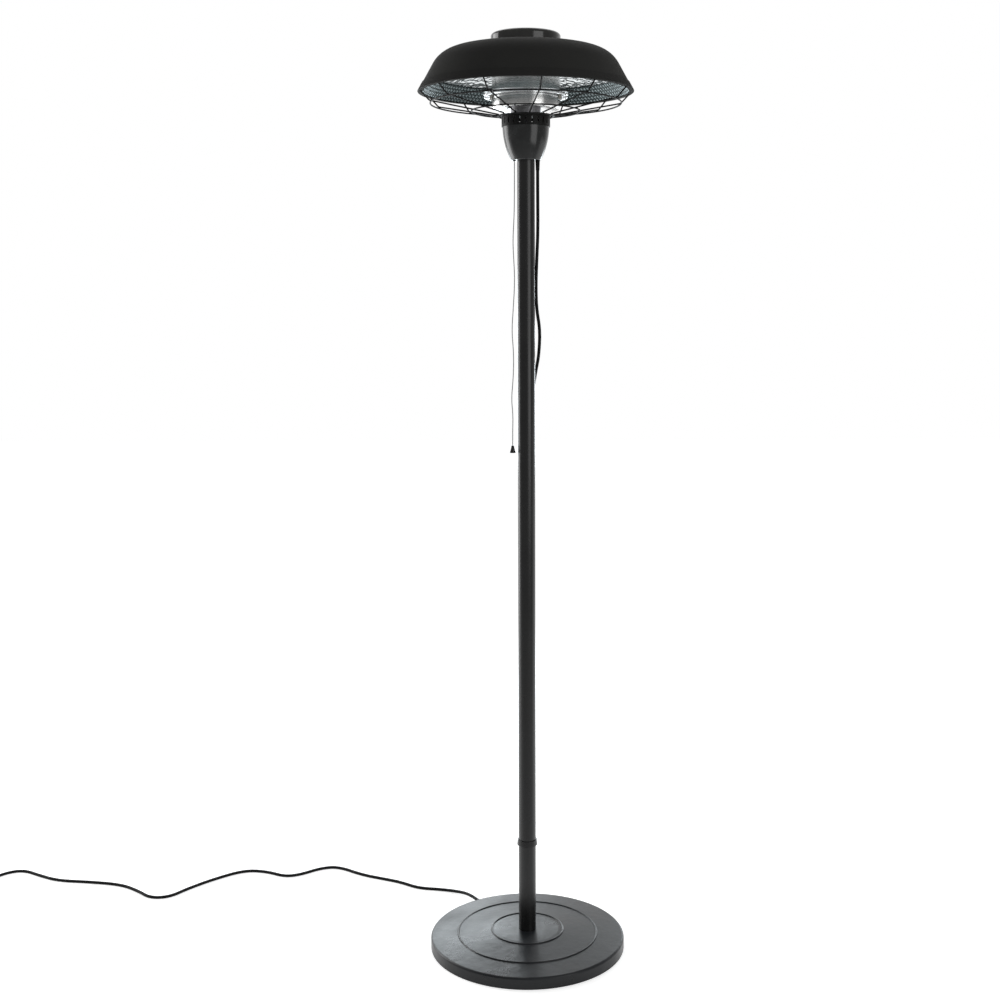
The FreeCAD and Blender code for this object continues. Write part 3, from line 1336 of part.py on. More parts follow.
def rim_band():
    """Band round the hood's edge, with a lip that carries the reflector's skirt and the guard."""
    band_outer = -SLIP_FIT - RIM_BAND_WALL
    band_top = RIM_HEIGHT + RIM_BAND_HEIGHT
    lip_radius = skirt_radius(SKIRT_OFFSET + REFLECTOR_WALL, LIP_TOP) - RIM_LIP_MARGIN
    foot = flat(skirt_radius(band_outer, RIM_HEIGHT), RIM_HEIGHT)
    lip_foot = flat(lip_radius, RIM_HEIGHT)
    top = flat(skirt_radius(band_outer, band_top), band_top)
    return turned(closed_wire(
        lip_foot,
        *round_off(lip_foot, foot, top, RIM_BAND_EDGE_RADIUS),
        top,
        flat(skirt_radius(-SLIP_FIT, band_top), band_top),
        flat(skirt_radius(-SLIP_FIT, LIP_TOP), LIP_TOP),
        flat(lip_radius, LIP_TOP),
    ))


def reflector():
    """Reflector dish over the lamps, clamped on the stem and resting on its skirt."""
    edge_radius = skirt_radius(SKIRT_OFFSET, SKIRT_TOP)
    flat_radius = DRUM_RADIUS + REFLECTOR_FLAT_MARGIN
    middle_radius = (flat_radius + edge_radius) / 2
    middle_height = (DRUM_TOP + SKIRT_TOP) / 2 + REFLECTOR_BULGE
    up = UP * REFLECTOR_WALL
    hole = flat(STEM_HOLE, DRUM_TOP)
    shoulder = flat(flat_radius, DRUM_TOP)
    middle = flat(middle_radius, middle_height)
    edge = flat(edge_radius, SKIRT_TOP)
    top = (middle + up, shoulder + up)
    return turned(closed_wire(hole, shoulder, (middle, edge), edge + up, top, hole + up))


def reflector_skirt():
    """Conical reflector inside the hood's skirt."""
    inner = SKIRT_OFFSET + REFLECTOR_WALL
    return turned_corners(
        (skirt_radius(inner, LIP_TOP), LIP_TOP),
        (skirt_radius(SKIRT_OFFSET, LIP_TOP), LIP_TOP),
        (skirt_radius(SKIRT_OFFSET, SKIRT_TOP), SKIRT_TOP),
        (skirt_radius(inner, SKIRT_TOP), SKIRT_TOP),
    )


def top_nut():
    """Flanged nut that clamps the hood on the stem."""
    flange = Part.makeCylinder(TOP_NUT_FLANGE_RADIUS, TOP_NUT_FLANGE_THICKNESS, UP * HOOD_APEX)
    nut = hexagon(TOP_NUT_ACROSS, TOP_NUT_SEAT, TOP_NUT_SEAT + TOP_NUT_HEIGHT)
    hole = rod(UP * (HOOD_APEX - CUT_OVERRUN), UP * (STEM_TOP + CUT_OVERRUN), STEM_HOLE)
    return flange.fuse(nut).cut(hole).removeSplitter()


def top_cap():
    """Round cap over the nut, with a boss that sits on the nut's flange."""
    inner_radius = CAP_RADIUS - CAP_WALL
    crown_drop = HOOD_CROWN_RADIUS - math.sqrt(HOOD_CROWN_RADIUS**2 - inner_radius**2)
    bottom = HOOD_APEX - crown_drop + SLIP_FIT
    ceiling = CAP_TOP - CAP_WALL
    boss_inner = TOP_NUT_ACROSS / math.sqrt(3) + CAP_BOSS_GAP
    boss_outer = boss_inner + CAP_BOSS_WALL
    outer_edge = round_off(flat(CAP_RADIUS, bottom), flat(CAP_RADIUS, CAP_TOP), flat(0, CAP_TOP),
                           CAP_EDGE_RADIUS)
    inner_edge = round_off(flat(0, ceiling), flat(inner_radius, ceiling), flat(inner_radius, bottom),
                           CAP_EDGE_RADIUS - CAP_WALL)
    return turned(closed_wire(
        flat(CAP_RADIUS, bottom),
        *outer_edge,
        flat(0, CAP_TOP),
        flat(0, ceiling),
        flat(boss_inner, ceiling),
        flat(boss_inner, TOP_NUT_SEAT),
        flat(boss_outer, TOP_NUT_SEAT),
        flat(boss_outer, ceiling),
        *inner_edge,
        flat(inner_radius, bottom),
    ))


# Guard


def guard_corners():
    """Rim end, bend and hub end of a guard wire's middle line."""
    lip_inner = skirt_radius(SKIRT_OFFSET + REFLECTOR_WALL, LIP_TOP) - RIM_LIP_MARGIN
    rim = flat((lip_inner + HOOD_RIM_RADIUS) / 2, RIM_HEIGHT)
    bend = rim - flat(GUARD_INSET, GUARD_DROP)
    hub = flat(VENT_RADIUS + GUARD_HUB_GAP, VENT_TOP + GUARD_HUB_RISE)
    return rim, bend, hub


def guard_wires():
    """Bent wires from the rim band's lip down and in to the hub."""
    rim, bend, hub = guard_corners()
    above = rim + (rim - bend).normalize() * CUT_OVERRUN
    wire = bent_rod([above, bend, hub], GUARD_BEND_RADIUS, GUARD_WIRE_RADIUS)
    over = Part.makeCylinder(HOOD_RIM_RADIUS + CUT_OVERRUN, HOOD_DEPTH, rim - flat(rim.x, 0))
    return around(wire.cut(over), GUARD_WIRE_COUNT, GUARD_FIRST_ANGLE)


def guard_ring(middle):
    """Ring of guard wire through a point of the outline."""
    return Part.makeTorus(middle.x, GUARD_WIRE_RADIUS, UP * middle.z)


def guard_ring_places():
    """Middle lines of the outer, middle and hub rings, which lie under the wires."""
    rim, bend, hub = guard_corners()
    _, (_, outer) = round_off(rim, bend, hub, GUARD_BEND_RADIUS)
    slope = (bend - hub).normalize()
    under = flat(slope.z, -slope.x) * (2 * GUARD_WIRE_RADIUS + WELD_GAP)
    middle = hub + (bend - hub) * GUARD_MIDDLE_SHARE
    inner = hub + slope * GUARD_WIRE_RADIUS
    return outer + under, middle + under, inner + under


# Mains cord


def supply_lead():
    """Lead that hangs beside the pole, from the neck's gland to the pole's boot."""
    start = FreeCAD.Vector(GLAND_X, GLAND_Y, NECK_BOTTOM_HEIGHT - BOOT_LENGTH)
    after_start = start - UP * GLAND_RUN
    tip = pole_boot_point(POLE_BOOT_REACH_OUT)
    before_tip = pole_boot_point(POLE_BOOT_REACH_OUT + POLE_BOOT_RUN)
    points = [start, after_start] + [FreeCAD.Vector(*p) for p in SUPPLY_ROUTE] + [before_tip, tip]
    return free_cord("supply_lead", points, CORD_RADIUS)


def coil_place(turns):
    """Point of the coil after some turns: in on the lower layer, up, and out on the upper layer."""
    climbed = COIL_LAYER_TURNS + COIL_CLIMB_TURNS
    if turns <= COIL_LAYER_TURNS:
        radius = COIL_OUTER_RADIUS - COIL_STEP * turns
        rise = 0
    elif turns <= climbed:
        radius = COIL_INNER_RADIUS
        rise = (1 - math.cos(math.pi * (turns - COIL_LAYER_TURNS) / COIL_CLIMB_TURNS)) / 2
    else:
        radius = COIL_INNER_RADIUS + COIL_STEP * (turns - climbed)
        rise = 1
    around_axis = polar(radius, -360 * turns, COIL_LEVEL + COIL_LAYER_STEP * rise)
    return around_axis + FreeCAD.Vector(COIL_X, COIL_Y, 0)


def coil_ends():
    """Points where the coil meets the floor cord and the plug's cord, a diameter before its turns."""
    start = coil_place(0) + FreeCAD.Vector(0, CORD_DIAMETER, 0)
    end = coil_place(COIL_TURNS) + FreeCAD.Vector(0, CORD_DIAMETER, 0)
    return start, end


def cord_coil():
    """Wound coil of the length that is put away."""
    start, end = coil_ends()
    step = 0.25
    back = FreeCAD.Vector(0, -1, 0)
    inner = wound_edges(lambda t: coil_place(t + step), COIL_TURNS - 2 * step)
    first = coil_place(step)
    last = coil_place(COIL_TURNS - step)
    first_heading = inner[0].tangentAt(inner[0].FirstParameter)
    last_heading = inner[-1].tangentAt(inner[-1].LastParameter)
    edges = [Part.LineSegment(start, coil_place(0)).toShape()]
    edges += biarc(coil_place(0), back, first, first_heading)
    edges += inner
    edges += biarc(last, last_heading, coil_place(COIL_TURNS), back * -1)
    edges.append(Part.LineSegment(coil_place(COIL_TURNS), end).toShape())
    length = sum(edge.Length for edge in edges)
    solid = swept(edges, CORD_RADIUS)
    ratio = solid.Volume / (math.pi * CORD_RADIUS**2 * length)
    print(f"cord_coil: {length:.0f} long, least gap {least_gap(coil_place, COIL_TURNS, CORD_RADIUS):.2f},"
          f" volume over section times length {ratio:.4f}")
    return solid


def floor_cord():
    """Cord on the floor from the base's boot to the coil."""
    tip_radius = BASE_RADIUS + BOOT_LENGTH
    tip, after_tip = base_boot_line(tip_radius, tip_radius + BASE_BOOT_RUN)
    end, _ = coil_ends()
    before_end = end + FreeCAD.Vector(0, FLOOR_ROUTE_LAST_RUN, 0)
    points = [tip, after_tip] + [FreeCAD.Vector(*p) for p in FLOOR_ROUTE] + [before_end, end]
    return free_cord("floor_cord", points, CORD_RADIUS)


def coil_tie():
    """Strap round the coil's turns on its near side."""
    inset = CORD_RADIUS + TIE_GAP
    low_radius = COIL_INNER_RADIUS + COIL_STEP / 4 - inset
    high_radius = COIL_OUTER_RADIUS - COIL_STEP / 4 + inset
    top = COIL_LEVEL + COIL_LAYER_STEP + inset
    half = TIE_WIDTH / 2
    wall = TIE_THICKNESS
    strap = block(FreeCAD.Vector(COIL_X - half, COIL_Y - high_radius - wall, 0),
                  FreeCAD.Vector(COIL_X + half, COIL_Y - low_radius + wall, top + wall))
    gap = block(FreeCAD.Vector(COIL_X - half - CUT_OVERRUN, COIL_Y - high_radius, wall),
                FreeCAD.Vector(COIL_X + half + CUT_OVERRUN, COIL_Y - low_radius, top))
    return strap.cut(gap)


def plug_point(reach, across=0.0):
    """Point on the plug's axis, a reach on from where its cord ends."""
    _, coil_end = coil_ends()
    return FreeCAD.Vector(coil_end.x + across, coil_end.y + PLUG_CORD_REACH + reach, PLUG_AXIS_HEIGHT)


def plug_cord():
    """Last stretch of cord, from the coil to the plug."""
    _, start = coil_ends()
    run = FreeCAD.Vector(0, PLUG_CORD_RUN, 0)
    middle = (start + plug_point(0)) * 0.5 + FreeCAD.Vector(PLUG_CORD_SWAY, 0, 0)
    points = [start, start + run, middle, plug_point(-PLUG_CORD_RUN), plug_point(0)]
    return free_cord("plug_cord", points, CORD_RADIUS)


def plug_body():
    """Moulded plug with a tapered relief, lying on the floor."""
    face = PLUG_RELIEF_LENGTH + PLUG_BODY_LENGTH
    shoulder = flat(PLUG_BODY_RADIUS, PLUG_RELIEF_LENGTH)
    front = flat(PLUG_BODY_RADIUS, face)
    relief_end = flat(PLUG_RELIEF_RADIUS, PLUG_RELIEF_LENGTH)
    body = turned(closed_wire(
        flat(0, 0),
        flat(BOOT_TIP_RADIUS, 0),
        relief_end,
        *round_off(relief_end, shoulder, front, PLUG_EDGE_RADIUS),
        *round_off(shoulder, front, flat(0, face), PLUG_EDGE_RADIUS),
        flat(0, face),
    ))
    body = body.rotated(ORIGIN, FreeCAD.Vector(1, 0, 0), -90).translated(plug_point(0))
    radius = PLUG_PIN_RADIUS + SLIP_FIT
    seats = [rod(plug_point(face - PLUG_PIN_SEAT, x), plug_point(face + CUT_OVERRUN, x), radius)
             for x in (-PLUG_PIN_SPACING / 2, PLUG_PIN_SPACING / 2)]
    return body.cut(seats)


def plug_pins():
    """Two round pins seated in the plug."""
    face = PLUG_RELIEF_LENGTH + PLUG_BODY_LENGTH
    return [rod(plug_point(face - PLUG_PIN_SEAT, x), plug_point(face + PLUG_PIN_LENGTH, x), PLUG_PIN_RADIUS)
            for x in (-PLUG_PIN_SPACING / 2, PLUG_PIN_SPACING / 2)]


def save(name, shape):
    """Write a sub-part's solids to its file."""
    solids = shape if isinstance(shape, list) else [shape]
    for solid in solids:
        if not solid.isValid() or solid.Volume <= 0:
            print(f"{name}: a solid is not valid")
    whole = solids[0] if len(solids) == 1 else Part.makeCompound(solids)
    whole.exportStep(f"parts/{name}.step")


OUTER_RING, MIDDLE_RING, HUB_RING = guard_ring_places()
SUB_PARTS = [
    base_cover, base_plate, base_feet, base_weight, base_posts, base_screws, base_boot,
    pole_socket, set_screws, lower_pole, pole_collar, joint_spigot, pole_screws, upper_pole, pole_boot,
    inner_lead,
    neck_cup, vent_ring, neck_lid, stem, stem_bush, stem_nut, stem_spacers, neck_chassis, chassis_screws,
    terminal_block, neck_gland, neck_leads,
    switch_body, switch_lid, switch_plunger, switch_spring, switch_rotor, tilt_frame, tilt_pendulum,
    pull_bush, pull_cord, pull_bell,
    lamp_drum, lamp_sockets, lamp_tubes, lamp_filaments,
    reflector, reflector_skirt, hood, rim_band, top_nut, top_cap, guard_wires,
    supply_lead, floor_cord, cord_coil, coil_tie, plug_cord, plug_body, plug_pins,
]

os.makedirs("parts", exist_ok=True)
for make in SUB_PARTS:
    save(make.__name__, make())
save("guard_outer_ring", guard_ring(OUTER_RING))
save("guard_middle_ring", guard_ring(MIDDLE_RING))
save("guard_hub_ring", guard_ring(HUB_RING))
print(f"{len(SUB_PARTS) + 3} sub-parts, {CAP_TOP:.1f} tall")
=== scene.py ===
# %% [markdown]
# # A patio heater in Blender
# This lesson dresses a finished CAD model of a free-standing patio heater: a black hood over ring lamps,
# a slim pole, a round base, a pull cord and a mains cord. The CAD parts stay where they are. Here they
# get their finishes, and the pieces that CAD leaves plain get their real form.

# %% Load the model
import json
import math

import bmesh
import bpy
import numpy as np
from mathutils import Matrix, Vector


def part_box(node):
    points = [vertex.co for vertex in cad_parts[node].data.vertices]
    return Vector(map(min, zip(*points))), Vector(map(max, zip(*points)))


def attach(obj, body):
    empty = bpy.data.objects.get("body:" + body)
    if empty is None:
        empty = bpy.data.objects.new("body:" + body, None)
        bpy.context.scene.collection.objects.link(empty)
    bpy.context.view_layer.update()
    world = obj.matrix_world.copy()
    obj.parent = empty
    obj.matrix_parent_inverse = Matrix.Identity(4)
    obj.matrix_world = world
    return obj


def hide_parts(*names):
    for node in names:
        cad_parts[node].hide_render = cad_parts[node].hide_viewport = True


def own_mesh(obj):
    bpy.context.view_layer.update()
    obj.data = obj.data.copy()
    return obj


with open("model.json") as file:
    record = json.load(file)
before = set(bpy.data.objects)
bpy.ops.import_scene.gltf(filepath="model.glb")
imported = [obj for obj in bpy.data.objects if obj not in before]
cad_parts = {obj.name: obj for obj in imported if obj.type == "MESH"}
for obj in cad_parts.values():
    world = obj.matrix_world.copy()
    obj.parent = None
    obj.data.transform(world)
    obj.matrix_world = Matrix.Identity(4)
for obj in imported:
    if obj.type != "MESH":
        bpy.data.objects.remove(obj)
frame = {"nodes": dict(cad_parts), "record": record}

SCENE = bpy.context.scene
NODES = frame["nodes"]
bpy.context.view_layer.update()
SCENE.view_settings.view_transform = "Standard"

# %% [markdown]
# ## The camera
# A real camera was a bit over three metres away, one and a half metres up, and looked slightly down. The
# heater stands off the picture's middle, and a lens shift gives that without turning the camera.

# %% Camera
CAMERA_PLACE = (0.0, -3.234, 1.496)
CAMERA_TILT, CAMERA_ROLL = math.radians(87.0), math.radians(0.115)
camera_data = bpy.data.cameras.new("camera")
camera_data.sensor_width = 36.0
camera_data.lens = 51.05
camera_data.shift_x = -0.0262
camera_data.shift_y = -0.1238
camera = bpy.data.objects.new("camera", camera_data)
camera.location = CAMERA_PLACE
camera.rotation_euler = (CAMERA_TILT, CAMERA_ROLL, 0.0)
SCENE.collection.objects.link(camera)
SCENE.camera = camera
print(f"camera at {CAMERA_PLACE}, {camera_data.lens} mm")

# %% [markdown]
# ## The cords
# A cord is a fixed length of something flexible. Its middle line is a NURBS curve that the route's points
# pull towards themselves, so it bends softly, and a round bevel gives it its thickness. The mains cord runs
# over the floor to a tied coil and ends in a plug. The lead beside the pole goes back into the pole.

# %% Cord routes, in millimetres as they were laid in CAD
MM = 0.001
CORD_RADIUS, PULL_CORD_RADIUS = 3.75, 1.0
FLOOR_ROUTE = [
    (-123.0, 213.04, 13.0), (-141.0, 244.22, 13.0), (-170, 282, 5.6), (-222, 301, 3.8), (-278, 309, 3.8),
    (-326, 346, 3.8), (-374, 368, 3.8), (-432, 394, 3.8), (-500, 447, 3.8), (-546, 437, 3.8),
    (-592, 396, 3.8), (-632, 384, 3.8), (-684, 416, 3.8), (-744, 424, 3.8), (-812, 368, 3.8),
    (-866, 308, 3.8), (-900, 258, 3.8), (-948, 253, 3.8), (-988, 294, 3.8), (-1042, 334, 3.8),
    (-1128, 351, 3.8), (-1214, 360, 3.8), (-1274, 394, 3.8), (-1326, 428, 3.8), (-1368, 410, 3.8),
    (-1394.75, 357.5, 5.45), (-1394.75, 307.5, 5.45),
]
PLUG_ROUTE = [
    (-1487.25, 307.5, 13.65), (-1487.25, 325.5, 13.65), (-1484.65, 349.5, 16.1), (-1487.25, 373.5, 18.55),
    (-1487.25, 391.5, 18.55),
]
SUPPLY_ROUTE = [
    (26.5, 3, 1794), (26.5, 3, 1768), (26.6, 3.4, 1735), (27, 4.5, 1655), (23.9, 9, 1585), (22.2, 12, 1528),
    (23.8, 9.5, 1478), (31.5, 7.5, 1432), (29, 12, 1376), (22.4, 25, 1340), (17.74, 33.36, 1310.86),
    (13.56, 25.51, 1286.43),
]
PULL_ROUTE = [
    (-26, 0, 1850), (-26, 0, 1796), (-26.3, -0.5, 1742), (-27, 0.2, 1690), (-30.2, 0.6, 1636),
    (-28.4, -0.2, 1596), (-26.4, -0.6, 1560), (-26.9, 0.2, 1524), (-29.6, 0.5, 1480), (-33, 0, 1430),
    (-29.6, -0.6, 1390), (-28.8, 0.2, 1352), (-30.8, 0.6, 1312), (-34.2, 0, 1275), (-30.6, -0.5, 1236),
    (-31.6, 0, 1200), (-31.6, 0, 1168),
]
print(f"{len(FLOOR_ROUTE)} floor points, {len(SUPPLY_ROUTE)} lead points, {len(PULL_ROUTE)} pull cord points")

# %% The coil's turns: in on the lower layer, up, and out on the upper layer
COIL_CENTRE = (-1441.0, 300.0)
COIL_RADIUS, COIL_STEP, COIL_LEVEL, COIL_LAYER = 32.0, 9.5, 5.45, 8.2
COIL_LAYER_TURNS, COIL_CLIMB = 1.5, 0.5
POINTS_PER_TURN = 16


def coil_point(turns):
    """Middle of the cord after some turns of the coil, clockwise from above."""
    climbed = COIL_LAYER_TURNS + COIL_CLIMB
    if turns <= COIL_LAYER_TURNS:
        radius, rise = COIL_RADIUS + COIL_STEP * (COIL_LAYER_TURNS - turns), 0.0
    elif turns <= climbed:
        radius, rise = COIL_RADIUS, (1 - math.cos(math.pi * (turns - COIL_LAYER_TURNS) / COIL_CLIMB)) / 2
    else:
        radius, rise = COIL_RADIUS + COIL_STEP * (turns - climbed), 1.0
    radius /= math.cos(math.pi / POINTS_PER_TURN)
    angle = -2 * math.pi * turns
    return (COIL_CENTRE[0] + radius * math.cos(angle), COIL_CENTRE[1] + radius * math.sin(angle),
            COIL_LEVEL + COIL_LAYER * rise)


coil_turns = 2 * COIL_LAYER_TURNS + COIL_CLIMB
coil_steps = round(coil_turns * POINTS_PER_TURN)
COIL_ROUTE = [coil_point((k + 0.5) / POINTS_PER_TURN) for k in range(coil_steps)]
print(f"coil of {coil_turns} turns from {len(COIL_ROUTE)} points")


# %% From a route to a smooth round cord
def cord_curve(name, route, radius):
    """Curve object with one NURBS spline along a route in millimetres, and a round bevel."""
    data = bpy.data.curves.new(name, "CURVE")
    data.dimensions = "3D"
    data.bevel_depth = 1.0
    data.bevel_resolution = 4
    data.use_fill_caps = True
    spline = data.splines.new("NURBS")
    spline.points.add(len(route) - 1)
    for point, place in zip(spline.points, route):
        point.co = (*(Vector(place) * MM), 1.0)
        point.radius = radius * MM
    spline.order_u = 3
    spline.use_endpoint_u = True
    spline.resolution_u = 8
    cord = bpy.data.objects.new(name, data)
    SCENE.collection.objects.link(cord)
    return cord


mains_cord = cord_curve("mains_cord", FLOOR_ROUTE + COIL_ROUTE + PLUG_ROUTE, CORD_RADIUS)
supply_cord = cord_curve("supply_cord", SUPPLY_ROUTE, CORD_RADIUS)
pull_string = cord_curve("pull_string", PULL_ROUTE, PULL_CORD_RADIUS)
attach(mains_cord, "heater")
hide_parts("floor_cord", "cord_coil", "plug_cord")
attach(supply_cord, "heater")
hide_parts("supply_lead")
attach(pull_string, "pull")
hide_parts("pull_cord")
print("mains cord, supply lead and pull cord are laid")

# %% [markdown]
# ## Shader arithmetic
# A finish is mostly small sums: a mask times a depth, a colour a bit darker in the hollows. A little class
# wraps a node's socket, so that such a sum can be written as plain Python and adds its Math nodes itself.


# %% Sockets as numbers
class Value:
    """A number that varies over a surface: the output socket of a node in a shader."""

    def __init__(self, shading, socket):
        self.shading = shading
        self.socket = socket

    def math(self, operation, first, second):
        """Result of a Math node."""
        node = self.shading.node("ShaderNodeMath", {"operation": operation}, {0: first, 1: second})
        return Value(self.shading, node.outputs[0])

    def __add__(self, other):
        return self.math("ADD", self, other)

    def __mul__(self, other):
        return self.math("MULTIPLY", self, other)

    def __sub__(self, other):
        return self.math("SUBTRACT", self, other)

    def __rsub__(self, other):
        return self.math("SUBTRACT", other, self)

    def most(self, other):
        """The larger of two values."""
        return self.math("MAXIMUM", self, other)

    __radd__ = __add__
    __rmul__ = __mul__


print("sockets can be added and multiplied")


# %% A shader being filled, and a material
class Shading:
    """A shader's node tree being filled."""

    def __init__(self, tree):
        self.tree = tree

    def feed(self, socket, value):
        """Link a varying value to a socket, or set a constant on it."""
        if isinstance(value, Value):
            self.tree.links.new(value.socket, socket)
        elif isinstance(value, bpy.types.NodeSocket):
            self.tree.links.new(value, socket)
        else:
            socket.default_value = value

    def node(self, kind, settings=None, inputs=None):
        """Add a node: its settings first, then the values or links of its sockets."""
        node = self.tree.nodes.new(kind)
        for name, value in (settings or {}).items():
            setattr(node, name, value)
        for name, value in (inputs or {}).items():
            self.feed(node.inputs[name], value)
        return node

    def ramp(self, value, low, high, start=0.0, end=1.0):
        """Value stretched so that low becomes start and high becomes end, held within those."""
        settings = {"interpolation_type": "SMOOTHSTEP"}
        inputs = {"Value": value, "From Min": low, "From Max": high, "To Min": start, "To Max": end}
        return Value(self, self.node("ShaderNodeMapRange", settings, inputs).outputs["Result"])


class Finish(Shading):
    """A material being made: its node tree and its main shader."""

    def __init__(self, name, **constants):
        self.material = bpy.data.materials.new(name)
        self.material.use_nodes = True
        super().__init__(self.material.node_tree)
        self.shader = self.tree.nodes["Principled BSDF"]
        for socket, value in constants.items():
            self.feed(self.shader.inputs[socket.replace("_", " ")], value)
        self.place = self.node("ShaderNodeTexCoord").outputs["Object"]

    def stretched(self, scale):
        """Object coordinates with their own scale along each axis."""
        return self.node("ShaderNodeMapping", None, {"Vector": self.place, "Scale": scale}).outputs["Vector"]

    def noise(self, size, detail=2.0, place=None):
        """Soft noise with features of a size in metres, about 0.5 on average."""
        inputs = {"Vector": place or self.place, "Scale": 1.0 / size, "Detail": detail}
        return Value(self, self.node("ShaderNodeTexNoise", None, inputs).outputs["Fac"])

    def speckle(self, size):
        """Distance to the nearest of scattered spots of a size in metres."""
        inputs = {"Vector": self.place, "Scale": 1.0 / size}
        return Value(self, self.node("ShaderNodeTexVoronoi", None, inputs).outputs["Distance"])

    def mixed(self, share, first, second):
        """Colour between two colours."""
        inputs = {0: share, 6: (*first, 1.0), 7: (*second, 1.0)}
        return self.node("ShaderNodeMix", {"data_type": "RGBA"}, inputs).outputs[2]

    def bump(self, height, depth):
        """Raise the surface by a height times a depth in metres."""
        node = self.node("ShaderNodeBump", None, {"Height": height, "Distance": depth, "Strength": 1.0})
        self.feed(self.shader.inputs["Normal"], node.outputs["Normal"])

    def colour(self, value):
        """Set the main colour."""
        self.feed(self.shader.inputs["Base Color"], value)

    def roughness(self, value):
        """Set how dull the surface is."""
        self.feed(self.shader.inputs["Roughness"], value)


print("shader arithmetic is ready")

# %% [markdown]
# ## The painted steel
# Hood, pole and base are steel with black powder paint. Powder paint melts into a fine, pebbly skin: small
# bumps, and a gloss that changes slightly over a hand's width. The hood is dull, the base and the pole shine
# more. One function makes them all, because only the numbers differ.

# %% Powder paint
NOISE_LOW, NOISE_HIGH = 0.3, 0.7
CLOUD_SIZE, CLOUD_SHARE = 0.12, 0.6
SPECK_GRAINS, SPECK_EDGE, SPECK_CORE = 2.5, 0.25, 0.05
SPECK_RISE, SPECK_DULLING = 0.5, 0.05
SHEET_WAVE = 0.022


def between(low, high, share):
    """Value from low to high by a share from 0 to 1."""
    return low + (high - low) * share


def powder_paint(name, dark, pale, gloss, grain, depth, specular, sheet=0.0):
    """Black paint with a pebbled skin, between a dark and a pale colour.

    gloss is (lowest, highest) roughness. grain and depth are the pebbles' size and height in metres. sheet is
    how far the steel under the paint is out of true, in depths.
    """
    paint = Finish(name, Specular_IOR_Level=specular)
    clouds = paint.noise(CLOUD_SIZE, detail=3.0)
    pebbles = paint.noise(grain, detail=1.0)
    specks = paint.ramp(paint.speckle(grain * SPECK_GRAINS), SPECK_EDGE, SPECK_CORE)
    shade = clouds * CLOUD_SHARE + pebbles * (1 - CLOUD_SHARE)
    paint.colour(paint.mixed(paint.ramp(shade, NOISE_LOW, NOISE_HIGH), dark, pale))
    paint.roughness(between(*gloss, paint.ramp(clouds, NOISE_LOW, NOISE_HIGH)) + SPECK_DULLING * specks)
    skin = pebbles + SPECK_RISE * specks
    if sheet:
        skin = skin + sheet * paint.noise(SHEET_WAVE, detail=3.0)
    paint.bump(skin, depth)
    return paint.material


hood_paint = powder_paint("hood_paint", dark=(0.018, 0.018, 0.017), pale=(0.027, 0.027, 0.025),
                          gloss=(0.74, 0.86), grain=0.0012, depth=0.00025, specular=0.14)
rim_paint = powder_paint("rim_paint", dark=(0.018, 0.018, 0.017), pale=(0.025, 0.025, 0.024),
                         gloss=(0.74, 0.86), grain=0.0012, depth=0.00020, specular=0.10)
# The faint blue in the base paint's dark and pale colours is painted reflection of the cool studio; the paint
# itself is black.
base_paint = powder_paint("base_paint", dark=(0.008, 0.009, 0.011), pale=(0.012, 0.014, 0.016),
                          gloss=(0.26, 0.40), grain=0.0016, depth=0.00010, specular=0.36, sheet=6.0)
pole_paint = powder_paint("pole_paint", dark=(0.007, 0.007, 0.007), pale=(0.011, 0.011, 0.011),
                          gloss=(0.22, 0.30), grain=0.0010, depth=0.00003, specular=0.5)
guard_paint = powder_paint("guard_paint", dark=(0.008, 0.008, 0.008), pale=(0.013, 0.013, 0.013),
                           gloss=(0.52, 0.64), grain=0.0008, depth=0.00006, specular=0.15)
vent_paint = powder_paint("vent_paint", dark=(0.006, 0.006, 0.006), pale=(0.010, 0.010, 0.010),
                          gloss=(0.40, 0.52), grain=0.0010, depth=0.00008, specular=0.15)
print("powder paints are mixed")

# %% [markdown]
# ## The glossy plastic
# The neck cup, the cap on the hood and the little bell are glossy black plastic. Nearly all that one sees
# of it is reflection, so its detail is in the gloss: a faint waviness from the mould, and a haze of
# fingerprints.

# %% Gloss black
HAZE_SIZE, HAZE_START, HAZE_FULL = 0.03, 0.45, 0.75
HAZE_PALER, HAZE_DULLING = 1.6, 0.12
MOULD_WAVE = 0.02


def toned(colour, factor, lift=0.0):
    """Colour made paler or darker."""
    return tuple(c * factor + lift for c in colour)


def gloss_black(name, colour, wave, gloss, specular):
    """Moulded glossy plastic with a mould's waviness of a depth in metres, a least roughness and a haze."""
    plastic = Finish(name, Specular_IOR_Level=specular)
    haze = plastic.ramp(plastic.noise(HAZE_SIZE, detail=4.0), HAZE_START, HAZE_FULL)
    plastic.colour(plastic.mixed(haze, colour, toned(colour, HAZE_PALER)))
    plastic.roughness(gloss + HAZE_DULLING * haze)
    plastic.bump(plastic.noise(MOULD_WAVE, detail=1.0), wave)
    return plastic.material


cup_gloss = gloss_black("cup_gloss", colour=(0.016, 0.017, 0.017), wave=0.0002, gloss=0.17, specular=0.46)
cap_gloss = gloss_black("cap_gloss", colour=(0.024, 0.024, 0.022), wave=0.0002, gloss=0.12, specular=0.55)
bell_gloss = gloss_black("bell_gloss", colour=(0.010, 0.010, 0.010), wave=0.0001, gloss=0.10, specular=0.4)
print("gloss plastics are mixed")

# %% [markdown]
# ## The bright metal
# Drum and reflectors are polished aluminium. A drum is polished while it turns, so its fine scratches run
# round it: noise that is drawn out round the axis and narrow along it gives them. Zinc plated steel is
# duller, with soft grey crystals.

# %% Polished metal
TURNING_STRETCH, RING_SHARE = (6.0, 6.0, 900.0), 0.6
SMEAR_SIZE, SMEAR_FULL, SMEAR_DARKER = 0.035, 0.75, 0.86


